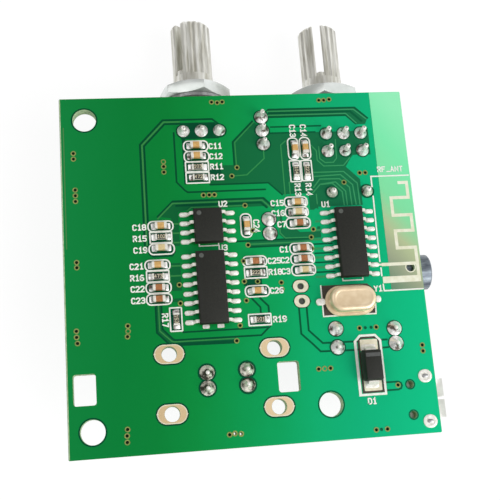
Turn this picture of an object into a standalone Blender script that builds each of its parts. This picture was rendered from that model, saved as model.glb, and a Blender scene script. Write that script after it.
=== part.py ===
"""A small stereo audio amplifier board, lying with its solder side up.

All lengths are in metres. Every piece is modelled in the board's own frame:
origin at the centre of the solder face, +X to the right, +Y towards the knobs,
+Z out of the solder face. One empty, board_datum, carries the whole board and
stands it on the ground: the knob nuts and the tall capacitors hang below it.
"""

import math

import bmesh
import bpy
from mathutils import Matrix, Vector

MM = 0.001

# Board blank
BOARD_SIDE = 48.5 * MM
BOARD_THICKNESS = 1.6 * MM
MOUNT_HOLE_DIAMETER = 3.2 * MM
MOUNT_HOLES = ((-20.9 * MM, 21.05 * MM), (-21.15 * MM, -20.95 * MM), (9.75 * MM, -19.6 * MM))
WINDOW_SIZE = (2.9 * MM, 4.0 * MM)
WINDOWS = ((-22.0 * MM, -15.6 * MM), (4.45 * MM, -15.6 * MM))
SPARE_PAD_HOLE_DIAMETER = 2.0 * MM
SPARE_PADS = (
    (-11.05 * MM, -11.7 * MM),
    (-11.05 * MM, -19.4 * MM),
    (2.85 * MM, -11.7 * MM),
    (2.85 * MM, -19.4 * MM),
)
SPARE_RING_HOLE_DIAMETER = 0.9 * MM
SPARE_RINGS = ((7.1 * MM, -3.65 * MM), (7.1 * MM, -5.7 * MM))

# Fits
PART_GAP = 0.05 * MM
PIN_CLEARANCE = 0.05 * MM
BUSH_CLEARANCE = 0.06 * MM
THREAD_CLEARANCE = 0.06 * MM
TOOL_MARGIN = 0.5 * MM
ROUND_STEPS = 24
CAN_STEPS = 20
PIN_STEPS = 8
JOINT_STEPS = 10

# Chip capacitors and resistors, with the places of their centres on the board
CHIP_LENGTH = 1.6 * MM
CHIP_WIDTH = 0.8 * MM
CAPACITOR_HEIGHT = 0.8 * MM
RESISTOR_HEIGHT = 0.45 * MM
TERMINAL_LENGTH = 0.32 * MM
TERMINAL_LIP = 0.02 * MM
CHIP_EDGE = 0.08 * MM
LEVEL = 0.0
UPRIGHT = math.radians(90)
CAPACITORS = (
    (-5.8 * MM, 16.86 * MM, LEVEL),
    (-5.8 * MM, 15.34 * MM, LEVEL),
    (8.0 * MM, 15.92 * MM, UPRIGHT),
    (9.5 * MM, 15.97 * MM, UPRIGHT),
    (7.65 * MM, 8.12 * MM, LEVEL),
    (7.65 * MM, 6.72 * MM, LEVEL),
    (7.7 * MM, 5.15 * MM, LEVEL),
    (7.83 * MM, 1.6 * MM, LEVEL),
    (7.83 * MM, 0.1 * MM, LEVEL),
    (7.85 * MM, -1.45 * MM, LEVEL),
    (-11.25 * MM, 5.55 * MM, LEVEL),
    (-11.3 * MM, 2.52 * MM, LEVEL),
    (-11.93 * MM, 0.2 * MM, LEVEL),
    (-11.93 * MM, -2.87 * MM, LEVEL),
    (-11.95 * MM, -4.4 * MM, LEVEL),
    (0.4 * MM, 5.15 * MM, UPRIGHT),
    (1.2 * MM, 0.06 * MM, LEVEL),
    (1.15 * MM, -3.98 * MM, LEVEL),
)
RESISTORS = (
    (-5.75 * MM, 13.75 * MM, LEVEL),
    (-5.72 * MM, 12.26 * MM, LEVEL),
    (7.95 * MM, 12.68 * MM, UPRIGHT),
    (9.5 * MM, 12.68 * MM, UPRIGHT),
    (-11.25 * MM, 4.04 * MM, LEVEL),
    (-11.92 * MM, -1.34 * MM, LEVEL),
    (-9.85 * MM, -7.2 * MM, UPRIGHT),
    (1.15 * MM, -1.5 * MM, LEVEL),
    (1.25 * MM, -7.85 * MM, LEVEL),
)

# Integrated circuits: centres on the board and leads down each side
LEAD_PITCH = 1.27 * MM
LEAD_WIDTH = 0.42 * MM
LEAD_THICKNESS = 0.2 * MM
LEAD_SPAN = 6.0 * MM
LEAD_FOOT = 0.6 * MM
PACKAGE_WIDTH = 3.9 * MM
PACKAGE_HEIGHT = 1.5 * MM
PACKAGE_STANDOFF = 0.15 * MM
PACKAGE_DRAFT = 0.12 * MM
PACKAGE_END = 0.5 * MM
PIN_ONE_RADIUS = 0.35 * MM
PIN_ONE_DEPTH = 0.08 * MM
INTEGRATED_CIRCUITS = {
    "radio_chip": (14.5 * MM, 1.97 * MM),
    "preamp_chip": (-4.9 * MM, 5.1 * MM),
    "power_chip": (-4.95 * MM, -3.3 * MM),
}
LEAD_COUNT = {"radio_chip": 8, "preamp_chip": 4, "power_chip": 8}

# Crystal and rectifier
CRYSTAL_PLACE = (13.7 * MM, -6.0 * MM)
CRYSTAL_FLANGE = (7.0 * MM, 4.15 * MM)
CRYSTAL_RIM = 0.38 * MM
CRYSTAL_HEIGHT = 2.3 * MM
CRYSTAL_BASE_INSET = 0.15 * MM
CRYSTAL_BASE_HEIGHT = 0.6 * MM
CRYSTAL_FLANGE_THICKNESS = 0.35 * MM
CRYSTAL_FILLET = 0.1 * MM
CRYSTAL_FILLET_RISE = 0.15 * MM
CRYSTAL_EDGE = 0.4 * MM
CRYSTAL_LEAD_REACH = 0.95 * MM
CRYSTAL_LEAD_WIDTH = 0.8 * MM
CRYSTAL_LEAD_THICKNESS = 0.2 * MM
CRYSTAL_LEAD_LIFT = 0.02 * MM
CRYSTAL_LEAD_ROOT = 1.0 * MM
RECTIFIER_PLACE = (15.5 * MM, -14.95 * MM)
RECTIFIER_BODY = (2.5 * MM, 4.1 * MM)
RECTIFIER_HEIGHT = 2.1 * MM
RECTIFIER_STANDOFF = 0.1 * MM
RECTIFIER_PARTING_HEIGHT = 1.0 * MM
RECTIFIER_UNDERCUT = 0.15 * MM
RECTIFIER_DRAFT = 0.18 * MM
RECTIFIER_EDGE = 0.1 * MM
RECTIFIER_LEAD_WIDTH = 1.4 * MM
RECTIFIER_LEAD_REACH = 0.55 * MM
RECTIFIER_LEAD_THICKNESS = 0.2 * MM
RECTIFIER_LEAD_HEIGHT = 1.1 * MM
RECTIFIER_LEAD_ROOT = 0.6 * MM

# Solder joints: base radius, height, pin radius and how far the pin stands out
JOINTS = {
    "tone_pin": (0.88 * MM, 1.1 * MM, 0.3 * MM, 1.3 * MM),
    "volume_pin": (0.86 * MM, 1.1 * MM, 0.3 * MM, 2.3 * MM),
    "switch_pin": (0.78 * MM, 0.9 * MM, 0.35 * MM, 1.4 * MM),
    "header_pin": (0.94 * MM, 1.1 * MM, 0.26 * MM, 2.3 * MM),
    "dome": (0.95 * MM, 0.95 * MM, 0.25 * MM, 0.85 * MM),
}

# Potentiometers
SHAFT_DROP = 6.8 * MM
SHAFT_RADIUS = 3.0 * MM
SHAFT_LENGTH = 15.35 * MM
KNURL_LENGTH = 8.55 * MM
KNURL_TEETH = 18
KNURL_DEPTH = 0.24 * MM
KNURL_RELIEF = 0.02 * MM
SLOT_WIDTH = 1.2 * MM
SLOT_LENGTH = 7.9 * MM
TIP_CHAMFER = 0.4 * MM
BUSH_RADIUS = 3.5 * MM
BUSH_LENGTH = 5.0 * MM
BUSH_CHAMFER = 0.3 * MM
PLATE_WIDTH = 9.8 * MM
PLATE_THICKNESS = 1.4 * MM
PLATE_TOP_GAP = 0.6 * MM
PLATE_BELOW_AXIS = 4.9 * MM
PLATE_CORNER = 1.0 * MM
COVER_THICKNESS = 0.35 * MM
WAFER_WIDTH = PLATE_WIDTH - 2 * (COVER_THICKNESS + PART_GAP)
WAFER_TOP_INSET = 0.2 * MM
WAFER_END_INSET = 0.3 * MM
WAFER_CORNER = 1.6 * MM
COVER_TOP_DROP = 2.6 * MM
ROTOR_RADIUS = 3.7 * MM
ROTOR_THICKNESS = 1.0 * MM
ROTOR_GAP = 0.15 * MM
ROTOR_POCKET_RADIUS = 4.0 * MM
ROTOR_POCKET_DEPTH = 1.3 * MM
SPIGOT_RADIUS = 1.9 * MM
SPIGOT_CLEARANCE = 0.1 * MM
STACK_GAP = 0.1 * MM
TERMINAL_PITCH = 2.5 * MM
TERMINAL_SETBACK = 4.75 * MM
TERMINAL_ROOT = 1.2 * MM
NUT_FLATS = 9.6 * MM
NUT_THICKNESS = 2.0 * MM
NUT_CHAMFER = 0.45 * MM
NUT_SETBACK = 0.15 * MM
WASHER_RADIUS = 4.8 * MM
WASHER_THICKNESS = 0.5 * MM
WASHER_TEETH = 9
WASHER_TOOTH = 0.7 * MM

TONE_X = -4.9 * MM
TONE_FACE_Y = 23.8 * MM
TONE_WAFER_DEPTH = 5.0 * MM
TONE_SPIGOT_LENGTH = 2.4 * MM
TONE_SLOT_LEAN = math.radians(-47)
TONE_NUT_TURN = math.radians(12)
VOLUME_X = 14.95 * MM
VOLUME_TERMINALS_X = 15.25 * MM
VOLUME_FACE_Y = 22.8 * MM
VOLUME_WAFER_DEPTH = 4.6 * MM
VOLUME_REAR_WAFER_DEPTH = 2.4 * MM
VOLUME_REAR_TERMINAL_STEP = 2.6 * MM
VOLUME_SWITCH_DEPTH = 5.8 * MM
VOLUME_SWITCH_BORE_DEPTH = 2.0 * MM
VOLUME_SWITCH_TERMINAL_STEP = 8.65 * MM
VOLUME_SLOT_LEAN = math.radians(-14)
VOLUME_NUT_TURN = math.radians(-10)

# Headphone-size audio jack, on the right edge of the hidden side
JACK_Y = -1.8 * MM
JACK_LENGTH = 12.0 * MM
JACK_WIDTH = 6.0 * MM
JACK_HEIGHT = 5.0 * MM
JACK_NOSE_RADIUS = 2.5 * MM
JACK_NOSE_REACH = 2.15 * MM
JACK_NOSE_ROOT = 1.0 * MM
JACK_NOSE_EDGE = 0.2 * MM
JACK_BORE_RADIUS = 1.8 * MM
JACK_BACK_WALL = 0.85 * MM
JACK_FACE_INSET = 0.1 * MM
JACK_PEG_INSET = 1.55 * MM
JACK_PEG_RADIUS = 0.5 * MM
JACK_PEG_ROOT = 0.6 * MM
JACK_PEG_HOLE_RADIUS = 0.6 * MM
JACK_TAB = (1.4 * MM, 1.0 * MM, 0.2 * MM)
JACK_TAB_COUNT = 3
JACK_TAB_FRONT_INSET = 2.6 * MM
JACK_TAB_BACK_INSET = 1.8 * MM
JACK_TAB_DROP = 0.45 * MM
JACK_TAB_ROOT = 0.5 * MM
JACK_EDGE = 0.35 * MM
JACK_CONTACT_SLOT = (3.0 * MM, 1.0 * MM, 0.6 * MM)

# Power socket, on the right edge of the hidden side
USB_Y = -19.72 * MM
USB_LENGTH = 5.0 * MM
USB_REACH = 0.15 * MM
USB_LIP_LENGTH = 1.25 * MM
USB_LIP_FLARE = 0.3 * MM
USB_LIP_THICKNESS = 0.2 * MM
USB_LIP_ROOT = 0.4 * MM
USB_NARROW = 5.2 * MM
USB_WIDE = 7.5 * MM
USB_HEIGHT = 2.5 * MM
USB_SHOULDER = 1.0 * MM
USB_WALL = 0.3 * MM
USB_SEAM = 0.35 * MM
USB_LEG_INSET = 1.4 * MM
USB_LEG_SPACING = 5.96 * MM
USB_LEG_RADIUS = 0.4 * MM
USB_LEG_ROOT = 0.6 * MM
USB_LEG_PAD_RADIUS = 0.95 * MM
USB_LEG_PAD_HEIGHT = 0.15 * MM
USB_PEG_INSET = 3.57 * MM
USB_PEG_SPACING = 4.0 * MM
USB_PEG_RADIUS = 0.4 * MM
USB_PEG_HOLE_RADIUS = 0.5 * MM
USB_TONGUE = (3.4 * MM, 3.7 * MM, 0.6 * MM)
USB_TONGUE_ROOT = 0.9 * MM
USB_BLOCK_LENGTH = 1.4 * MM

# Plug headers and electrolytic capacitors
HEADER_PITCH = 2.0 * MM
HEADER_DEPTH = 4.5 * MM
HEADER_HEIGHT = 6.0 * MM
HEADER_WALL = 0.6 * MM
HEADER_FLOOR = 1.6 * MM
HEADER_END = 1.95 * MM
HEADER_PIN_SHIFT = 0.55 * MM
HEADER_PIN_TIP_DROP = 0.7 * MM
HEADER_KEY_SLOT = 0.7 * MM
HEADER_KEY_FLOOR = 0.6 * MM
LINE_HEADER = (3.65 * MM, 18.82 * MM)
LINE_HEADER_PIN_COUNT = 3
SPEAKER_HEADERS = {
    "speaker_header_left": (-6.3 * MM, -15.4 * MM),
    "speaker_header_right": (-1.05 * MM, -15.35 * MM),
}
SPEAKER_HEADER_PIN_COUNT = 2
CAN_STANDOFF = 0.3 * MM
CAN_HEIGHT = 11.0 * MM
CAN_GROOVE_DROP = 1.5 * MM
CAN_GROOVE_HALF = 0.45 * MM
CAN_GROOVE_DEPTH = 0.3 * MM
CAN_EDGE = 0.35 * MM
CAN_TOP_RECESS = 0.2 * MM
CAN_LEAD_ROOT = 1.0 * MM
ELECTROLYTICS = {
    "electrolytic_small_1": (3.55 * MM, 4.9 * MM, 2.5 * MM, 2.0 * MM),
    "electrolytic_small_2": (19.4 * MM, -11.1 * MM, 2.5 * MM, 2.0 * MM),
    "electrolytic_large": (11.35 * MM, -10.95 * MM, 3.15 * MM, 2.5 * MM),
}

# Colours: red, green, blue, roughness, metallic
FINISHES = {
    "board_green": (0.03, 0.36, 0.12, 0.35, 0.0),
    "capacitor_tan": (0.62, 0.42, 0.22, 0.5, 0.0),
    "resistor_black": (0.03, 0.03, 0.035, 0.45, 0.0),
    "chip_black": (0.035, 0.035, 0.035, 0.6, 0.0),
    "crystal_gold": (0.78, 0.66, 0.5, 0.3, 1.0),
    "pot_casting": (0.6, 0.6, 0.58, 0.45, 1.0),
    "pot_wafer": (0.3, 0.17, 0.09, 0.6, 0.0),
    "pot_steel": (0.66, 0.66, 0.64, 0.35, 1.0),
    "shaft_aluminium": (0.78, 0.78, 0.76, 0.35, 1.0),
    "nut_nickel": (0.8, 0.8, 0.78, 0.25, 1.0),
    "washer_steel": (0.5, 0.5, 0.5, 0.4, 1.0),
    "jack_black": (0.05, 0.055, 0.06, 0.4, 0.0),
    "usb_steel": (0.75, 0.75, 0.74, 0.3, 1.0),
    "usb_black": (0.03, 0.03, 0.03, 0.5, 0.0),
    "header_white": (0.85, 0.83, 0.76, 0.5, 0.0),
    "can_black": (0.04, 0.045, 0.06, 0.35, 0.0),
}

HALF_BOARD = BOARD_SIDE / 2
HIDDEN_FACE_Z = -BOARD_THICKNESS
SHAFT_Z = HIDDEN_FACE_Z - SHAFT_DROP
PLATE_TOP = PLATE_TOP_GAP - SHAFT_DROP
NUT_CORNER_RADIUS = NUT_FLATS / 2 / math.cos(math.pi / 6)


def clear_scene():
    """Start from an empty file."""
    for item in list(bpy.data.objects):
        bpy.data.objects.remove(item, do_unlink=True)


def make_materials():
    """One Principled material for each finish."""
    made = {}
    for name, (red, green, blue, roughness, metallic) in FINISHES.items():
        material = bpy.data.materials.new(name)
        material.use_nodes = True
        shader = material.node_tree.nodes["Principled BSDF"]
        shader.inputs["Base Color"].default_value = (red, green, blue, 1.0)
        shader.inputs["Roughness"].default_value = roughness
        shader.inputs["Metallic"].default_value = metallic
        material.diffuse_color = (red, green, blue, 1.0)
        made[name] = material
    return made


# Mesh helpers


def add_loft(bm, rings, closed=False):
    """Skin equal rings of points; a closed loft returns to its first ring and has no caps."""
    rows = [[bm.verts.new(point) for point in ring] for ring in rings]
    count = len(rows[0])
    pairs = list(zip(rows, rows[1:]))
    if closed:
        pairs.append((rows[-1], rows[0]))
    for low, high in pairs:
        for i in range(count):
            j = (i + 1) % count
            bm.faces.new((low[i], low[j], high[j], high[i]))
    if not closed:
        bm.faces.new(list(reversed(rows[0])))
        bm.faces.new(rows[-1])


def add_prism(bm, outline, low, high, lift=lambda x, y, z: (x, y, z)):
    """Extrude a counter-clockwise outline between two levels of its third axis."""
    rings = [[lift(x, y, level) for x, y in outline] for level in (low, high)]
    add_loft(bm, rings)


def add_box(bm, low, high):
    """A plain block between two corners."""
    outline = ((low[0], low[1]), (high[0], low[1]), (high[0], high[1]), (low[0], high[1]))
    add_prism(bm, outline, low[2], high[2])


def circle(radius, steps, turn=0.0):
    """Points on a circle."""
    points = []
    for i in range(steps):
        angle = turn + 2 * math.pi * i / steps
        points.append((radius * math.cos(angle), radius * math.sin(angle)))
    return points


def add_turned(bm, profile, steps, place=(0, 0, 0), hollow=False):
    """Turn (radius, height) pairs about Z; a hollow profile is a closed section."""
    rings = []
    for radius, height in profile:
        ring = [(place[0] + x, place[1] + y, place[2] + height) for x, y in circle(radius, steps)]
        rings.append(ring)
    add_loft(bm, rings, closed=hollow)


def chamfered_outline(half_x, half_y, chamfer):
    """A rectangle with its four corners cut, counter-clockwise."""
    return (
        (half_x - chamfer, -half_y),
        (half_x, -half_y + chamfer),
        (half_x, half_y - chamfer),
        (half_x - chamfer, half_y),
        (-half_x + chamfer, half_y),
        (-half_x, half_y - chamfer),
        (-half_x, -half_y + chamfer),
        (-half_x + chamfer, -half_y),
    )


def stadium(half_x, half_y, steps=6):
    """A slot outline with round ends along X."""
    points = []
    centre = half_x - half_y
    for side in (1, -1):
        for i in range(steps + 1):
            angle = -math.pi / 2 + math.pi * i / steps
            points.append((side * (centre + half_y * math.cos(angle)), side * half_y * math.sin(angle)))
    return points


def finish_mesh(name, bm, smooth_angle=None):
    """Turn a bmesh into mesh data with outward faces."""
    bmesh.ops.recalc_face_normals(bm, faces=bm.faces)
    mesh = bpy.data.meshes.new(name)
    bm.to_mesh(mesh)
    bm.free()
    if smooth_angle:
        mesh.shade_smooth()
        mesh.set_sharp_from_angle(angle=smooth_angle)
    return mesh


class Bench:
    """Places pieces and their cutting tools on the board's datum."""

    def __init__(self, datum, materials):
        self.datum = datum
        self.materials = materials

    def piece(self, name, bm, finish, place=(0, 0, 0), turn=None, smooth_angle=math.radians(35)):
        """A named sub-part of the board."""
        part = bpy.data.objects.new(name, finish_mesh(name, bm, smooth_angle))
        part.data.materials.append(self.materials[finish])
        return self.place(part, place, turn)

    def copy(self, source, name, place, turn=None):
        """Another object that shares the first one's mesh."""
        return self.place(bpy.data.objects.new(name, source.data), place, turn)

    def place(self, part, place, turn):
        bpy.context.collection.objects.link(part)
        part.parent = self.datum
        part.location = place
        if turn:
            part.rotation_euler = turn
        return part

    def apply_tool(self, part, bm, operation):
        """Cut or join a hidden tool made in the same frame as the part's mesh."""
        tool = bpy.data.objects.new(part.name + "_tool", finish_mesh(part.name + "_tool", bm))
        self.place(tool, part.location, part.rotation_euler)
        tool.hide_render = True
        tool.display_type = "WIRE"
        step = part.modifiers.new(operation.title(), "BOOLEAN")
        step.operation = operation
        step.solver = "EXACT"
        step.object = tool

    def join(self, part, bm):
        self.apply_tool(part, bm, "UNION")

    def cut(self, part, bm):
        self.apply_tool(part, bm, "DIFFERENCE")


# Where pins meet the board


def terminal_row(x, y):
    """Three terminals of one potentiometer wafer."""
    return [(x + step * TERMINAL_PITCH, y) for step in (-1, 0, 1)]


def pin_column(x, y, count, pitch):
    """A column of pins along Y about its middle."""
    return [(x, y + (i - (count - 1) / 2) * pitch) for i in range(count)]


def tone_terminals():
    return terminal_row(TONE_X, TONE_FACE_Y - TERMINAL_SETBACK)


def volume_terminals():
    return terminal_row(VOLUME_TERMINALS_X, VOLUME_FACE_Y - TERMINAL_SETBACK)


def volume_rear_terminals():
    return terminal_row(VOLUME_TERMINALS_X, VOLUME_FACE_Y - TERMINAL_SETBACK - VOLUME_REAR_TERMINAL_STEP)


def switch_terminals():
    y = VOLUME_FACE_Y - TERMINAL_SETBACK - VOLUME_SWITCH_TERMINAL_STEP
    return [(VOLUME_TERMINALS_X + side * TERMINAL_PITCH, y) for side in (-1, 1)]


def joint_places():
    """Every soldered pin as (x, y, kind of joint)."""
    places = [(x, y, "tone_pin") for x, y in tone_terminals()]
    places += [(x, y, "volume_pin") for x, y in volume_terminals() + volume_rear_terminals()]
    places += [(x, y, "switch_pin") for x, y in switch_terminals()]
    x, y = LINE_HEADER
    line_pins = pin_column(x, y, LINE_HEADER_PIN_COUNT, HEADER_PITCH)
    places += [(px, py, "header_pin") for px, py in line_pins]
    for x, y in SPEAKER_HEADERS.values():
        speaker_pins = pin_column(x, y, SPEAKER_HEADER_PIN_COUNT, HEADER_PITCH)
        places += [(px, py, "dome") for px, py in speaker_pins]
    for x, y, radius, pitch in ELECTROLYTICS.values():
        places += [(px, py, "dome") for px, py in pin_column(x, y, 2, pitch)]
    return places


def usb_leg_places():
    x = HALF_BOARD - USB_LEG_INSET
    return [(x, USB_Y + side * USB_LEG_SPACING / 2) for side in (-1, 1)]


def usb_peg_places():
    x = HALF_BOARD - USB_PEG_INSET
    return [(x, USB_Y + side * USB_PEG_SPACING / 2) for side in (-1, 1)]


def jack_peg_place():
    return (HALF_BOARD - JACK_PEG_INSET, JACK_Y)


def joint_profile(kind):
    """The filleted cone or dome of solder round a pin, sunk a little into the board."""
    radius, height, pin_radius, reach = JOINTS[kind]
    sink = BOARD_THICKNESS / 4
    if kind == "dome":
        shape = ((1.0, 0.15), (0.82, 0.7), (0.42, 1.0))
    else:
        shape = ((1.0, 0.1), (0.76, 0.5), (0.48, 1.0))
    profile = [(radius, -sink)]
    profile += [(radius * share, height * rise) for share, rise in shape]
    return profile


def add_pins(bm, places, kind, root_z):
    """Round pins from root_z up through the board and its solder."""
    radius, height, pin_radius, reach = JOINTS[kind]
    for x, y in places:
        profile = ((pin_radius, root_z), (pin_radius, reach - pin_radius / 2), (pin_radius / 2, reach))
        add_turned(bm, profile, PIN_STEPS, (x, y, 0))


# Sub-parts


def build_board(bench):
    """The bare board with its solder joints, cut by every hole."""
    bm = bmesh.new()
    half = HALF_BOARD
    add_box(bm, (-half, -half, HIDDEN_FACE_Z), (half, half, 0))
    board = bench.piece("circuit_board", bm, "board_green")

    solder = bmesh.new()
    for x, y, kind in joint_places():
        add_turned(solder, joint_profile(kind), JOINT_STEPS, (x, y, 0))
    for x, y in usb_leg_places():
        cap = ((USB_LEG_PAD_RADIUS, -BOARD_THICKNESS / 4), (USB_LEG_PAD_RADIUS, USB_LEG_PAD_HEIGHT))
        add_turned(solder, cap, JOINT_STEPS, (x, y, 0))
    bench.join(board, solder)

    holes = bmesh.new()
    low = HIDDEN_FACE_Z - TOOL_MARGIN
    for x, y in MOUNT_HOLES:
        add_turned(holes, _cylinder(MOUNT_HOLE_DIAMETER / 2, low, TOOL_MARGIN), 32, (x, y, 0))
    for x, y in SPARE_PADS:
        add_turned(holes, _cylinder(SPARE_PAD_HOLE_DIAMETER / 2, low, TOOL_MARGIN), 20, (x, y, 0))
    for x, y in SPARE_RINGS:
        add_turned(holes, _cylinder(SPARE_RING_HOLE_DIAMETER / 2, low, TOOL_MARGIN), 12, (x, y, 0))
    for x, y in WINDOWS:
        half_x = WINDOW_SIZE[0] / 2
        half_y = WINDOW_SIZE[1] / 2
        add_box(holes, (x - half_x, y - half_y, low), (x + half_x, y + half_y, TOOL_MARGIN))
    for x, y, kind in joint_places():
        radius, height, pin_radius, reach = JOINTS[kind]
        drill = _cylinder(pin_radius + PIN_CLEARANCE, low, height + TOOL_MARGIN)
        add_turned(holes, drill, PIN_STEPS, (x, y, 0))
    for x, y in usb_leg_places():
        drill = _cylinder(USB_LEG_RADIUS + PIN_CLEARANCE, low, HIDDEN_FACE_Z + BOARD_THICKNESS * 0.9)
        add_turned(holes, drill, PIN_STEPS, (x, y, 0))
    for x, y in usb_peg_places():
        add_turned(holes, _cylinder(USB_PEG_HOLE_RADIUS, low, TOOL_MARGIN), 12, (x, y, 0))
    x, y = jack_peg_place()
    add_turned(holes, _cylinder(JACK_PEG_HOLE_RADIUS, low, TOOL_MARGIN), 12, (x, y, 0))
    bench.cut(board, holes)


def _cylinder(radius, low, high):
    return ((radius, low), (radius, high))


def chip_mesh(height):
    """A chip capacitor or resistor: a ceramic block between two wrapped metal ends."""
    bm = bmesh.new()
    half = CHIP_LENGTH / 2
    inner = half - TERMINAL_LENGTH
    wide = CHIP_WIDTH / 2
    tall = height / 2
    stations = (
        (-half, CHIP_EDGE),
        (-half + CHIP_EDGE, 0),
        (-inner, 0),
        (-inner, TERMINAL_LIP),
        (inner, TERMINAL_LIP),
        (inner, 0),
        (half - CHIP_EDGE, 0),
        (half, CHIP_EDGE),
    )
    rings = []
    for x, inset in stations:
        half_y = wide - inset
        half_z = tall - inset
        corners = ((-half_y, -half_z), (half_y, -half_z), (half_y, half_z), (-half_y, half_z))
        rings.append([(x, y, z + tall) for y, z in corners])
    add_loft(bm, rings)
    return bm


def build_chips(bench):
    """The small ceramic capacitors and thick-film resistors."""
    kinds = (
        ("ceramic_capacitor", CAPACITORS, CAPACITOR_HEIGHT, "capacitor_tan"),
        ("chip_resistor", RESISTORS, RESISTOR_HEIGHT, "resistor_black"),
    )
    for kind, places, height, finish in kinds:
        first = None
        for number, (x, y, turn) in enumerate(places, start=1):
            name = f"{kind}_{number:02d}"
            place = (x, y, PART_GAP)
            if first:
                bench.copy(first, name, place, (0, 0, turn))
            else:
                first = bench.piece(name, chip_mesh(height), finish, place, (0, 0, turn))


def add_gull_wing(bm, side, y):
    """One lead: out of the package, down, and flat on its pad."""
    out = LEAD_SPAN / 2
    knee = PACKAGE_WIDTH / 2 + (LEAD_SPAN - PACKAGE_WIDTH) / 4
    root = PACKAGE_WIDTH / 2 - PACKAGE_STANDOFF * 2
    top = PACKAGE_STANDOFF + PACKAGE_HEIGHT / 2 + LEAD_THICKNESS / 2
    thick = LEAD_THICKNESS
    heel = out - LEAD_FOOT
    profile = (
        (root, top - thick),
        (knee - thick / 2, top - thick),
        (heel - thick / 2, 0),
        (out, 0),
        (out, thick),
        (heel + thick / 2, thick),
        (knee + thick / 2, top),
        (root, top),
    )
    half = LEAD_WIDTH / 2
    points = [(side * x, z) for x, z in profile]
    rings = [[(x, y + step, z) for x, z in points] for step in (-half, half)]
    add_loft(bm, rings)


def build_integrated_circuits(bench):
    """Moulded packages with gull-wing leads down both sides."""
    for name, (x, y) in INTEGRATED_CIRCUITS.items():
        count = LEAD_COUNT[name]
        length = (count - 1) * LEAD_PITCH + 2 * PACKAGE_END
        bottom = PACKAGE_STANDOFF
        middle = bottom + PACKAGE_HEIGHT / 2
        top = bottom + PACKAGE_HEIGHT
        rings = []
        for level, inset in ((bottom, PACKAGE_DRAFT), (middle, 0), (top, PACKAGE_DRAFT)):
            half_x = PACKAGE_WIDTH / 2 - inset
            half_y = length / 2 - inset
            corners = ((-half_x, -half_y), (half_x, -half_y), (half_x, half_y), (-half_x, half_y))
            rings.append([(cx, cy, level) for cx, cy in corners])
        bm = bmesh.new()
        add_loft(bm, rings)
        package = bench.piece(name, bm, "chip_black", (x, y, PART_GAP), smooth_angle=None)

        leads = bmesh.new()
        for lead_x, lead_y in pin_column(0, 0, count, LEAD_PITCH):
            for side in (-1, 1):
                add_gull_wing(leads, side, lead_y)
        bench.join(package, leads)

        dot = bmesh.new()
        dot_place = (-PACKAGE_WIDTH / 2 + 3 * PIN_ONE_RADIUS, length / 2 - 3 * PIN_ONE_RADIUS, 0)
        add_turned(dot, _cylinder(PIN_ONE_RADIUS, top - PIN_ONE_DEPTH, top + TOOL_MARGIN), 12, dot_place)
        bench.cut(package, dot)


def build_crystal(bench):
    """A drawn metal can welded to a flanged base, on a thin insulator with two bent leads."""
    flange_low = CRYSTAL_BASE_HEIGHT
    flange_high = flange_low + CRYSTAL_FLANGE_THICKNESS
    edge = CRYSTAL_EDGE
    levels = (
        (0.0, CRYSTAL_BASE_INSET),
        (flange_low, CRYSTAL_BASE_INSET),
        (flange_low, 0.0),
        (flange_high, 0.0),
        (flange_high, CRYSTAL_RIM - CRYSTAL_FILLET),
        (flange_high + CRYSTAL_FILLET_RISE, CRYSTAL_RIM),
        (CRYSTAL_HEIGHT - edge, CRYSTAL_RIM + edge * 0.1),
        (CRYSTAL_HEIGHT - edge * 0.3, CRYSTAL_RIM + edge * 0.4),
        (CRYSTAL_HEIGHT, CRYSTAL_RIM + edge),
    )
    length, width = CRYSTAL_FLANGE
    bm = bmesh.new()
    rings = []
    for level, inset in levels:
        outline = stadium(length / 2 - inset, width / 2 - inset)
        rings.append([(x, y, level) for x, y in outline])
    add_loft(bm, rings)
    x, y = CRYSTAL_PLACE
    can = bench.piece("crystal_can", bm, "crystal_gold", (x, y, PART_GAP))

    leads = bmesh.new()
    half = CRYSTAL_LEAD_WIDTH / 2
    low = CRYSTAL_LEAD_LIFT
    high = low + CRYSTAL_LEAD_THICKNESS
    ends = (length / 2 - CRYSTAL_LEAD_ROOT, length / 2 + CRYSTAL_LEAD_REACH)
    for side in (-1, 1):
        near, far = sorted(side * end for end in ends)
        add_box(leads, (near, -half, low), (far, half, high))
    bench.join(can, leads)


def build_rectifier(bench):
    """The moulded rectifier with its two strap leads."""
    bm = bmesh.new()
    half_x = RECTIFIER_BODY[0] / 2
    half_y = RECTIFIER_BODY[1] / 2
    levels = (
        (RECTIFIER_STANDOFF, RECTIFIER_UNDERCUT),
        (RECTIFIER_PARTING_HEIGHT, 0.0),
        (RECTIFIER_HEIGHT, RECTIFIER_DRAFT),
    )
    rings = []
    for level, inset in levels:
        outline = chamfered_outline(half_x - inset, half_y - inset, RECTIFIER_EDGE)
        rings.append([(x, y, level) for x, y in outline])
    add_loft(bm, rings)
    x, y = RECTIFIER_PLACE
    body = bench.piece("rectifier_diode", bm, "chip_black", (x, y, PART_GAP), smooth_angle=None)

    straps = bmesh.new()
    half = RECTIFIER_LEAD_WIDTH / 2
    root = half_y - RECTIFIER_LEAD_ROOT
    tip = half_y + RECTIFIER_LEAD_REACH
    thick = RECTIFIER_LEAD_THICKNESS
    for side in (-1, 1):
        profile = (
            (root, 0.0),
            (tip, 0.0),
            (tip, thick),
            (half_y + thick, thick * 1.25),
            (half_y + thick, RECTIFIER_LEAD_HEIGHT),
            (root, RECTIFIER_LEAD_HEIGHT),
        )
        rings = [[(step, side * y, z) for y, z in profile] for step in (-half, half)]
        add_loft(straps, rings)
    bench.join(body, straps)


# Potentiometers, modelled with the shaft along Z (knob end up) and turned to lie along +Y

LIE_DOWN = (math.radians(-90), 0, 0)


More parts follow.
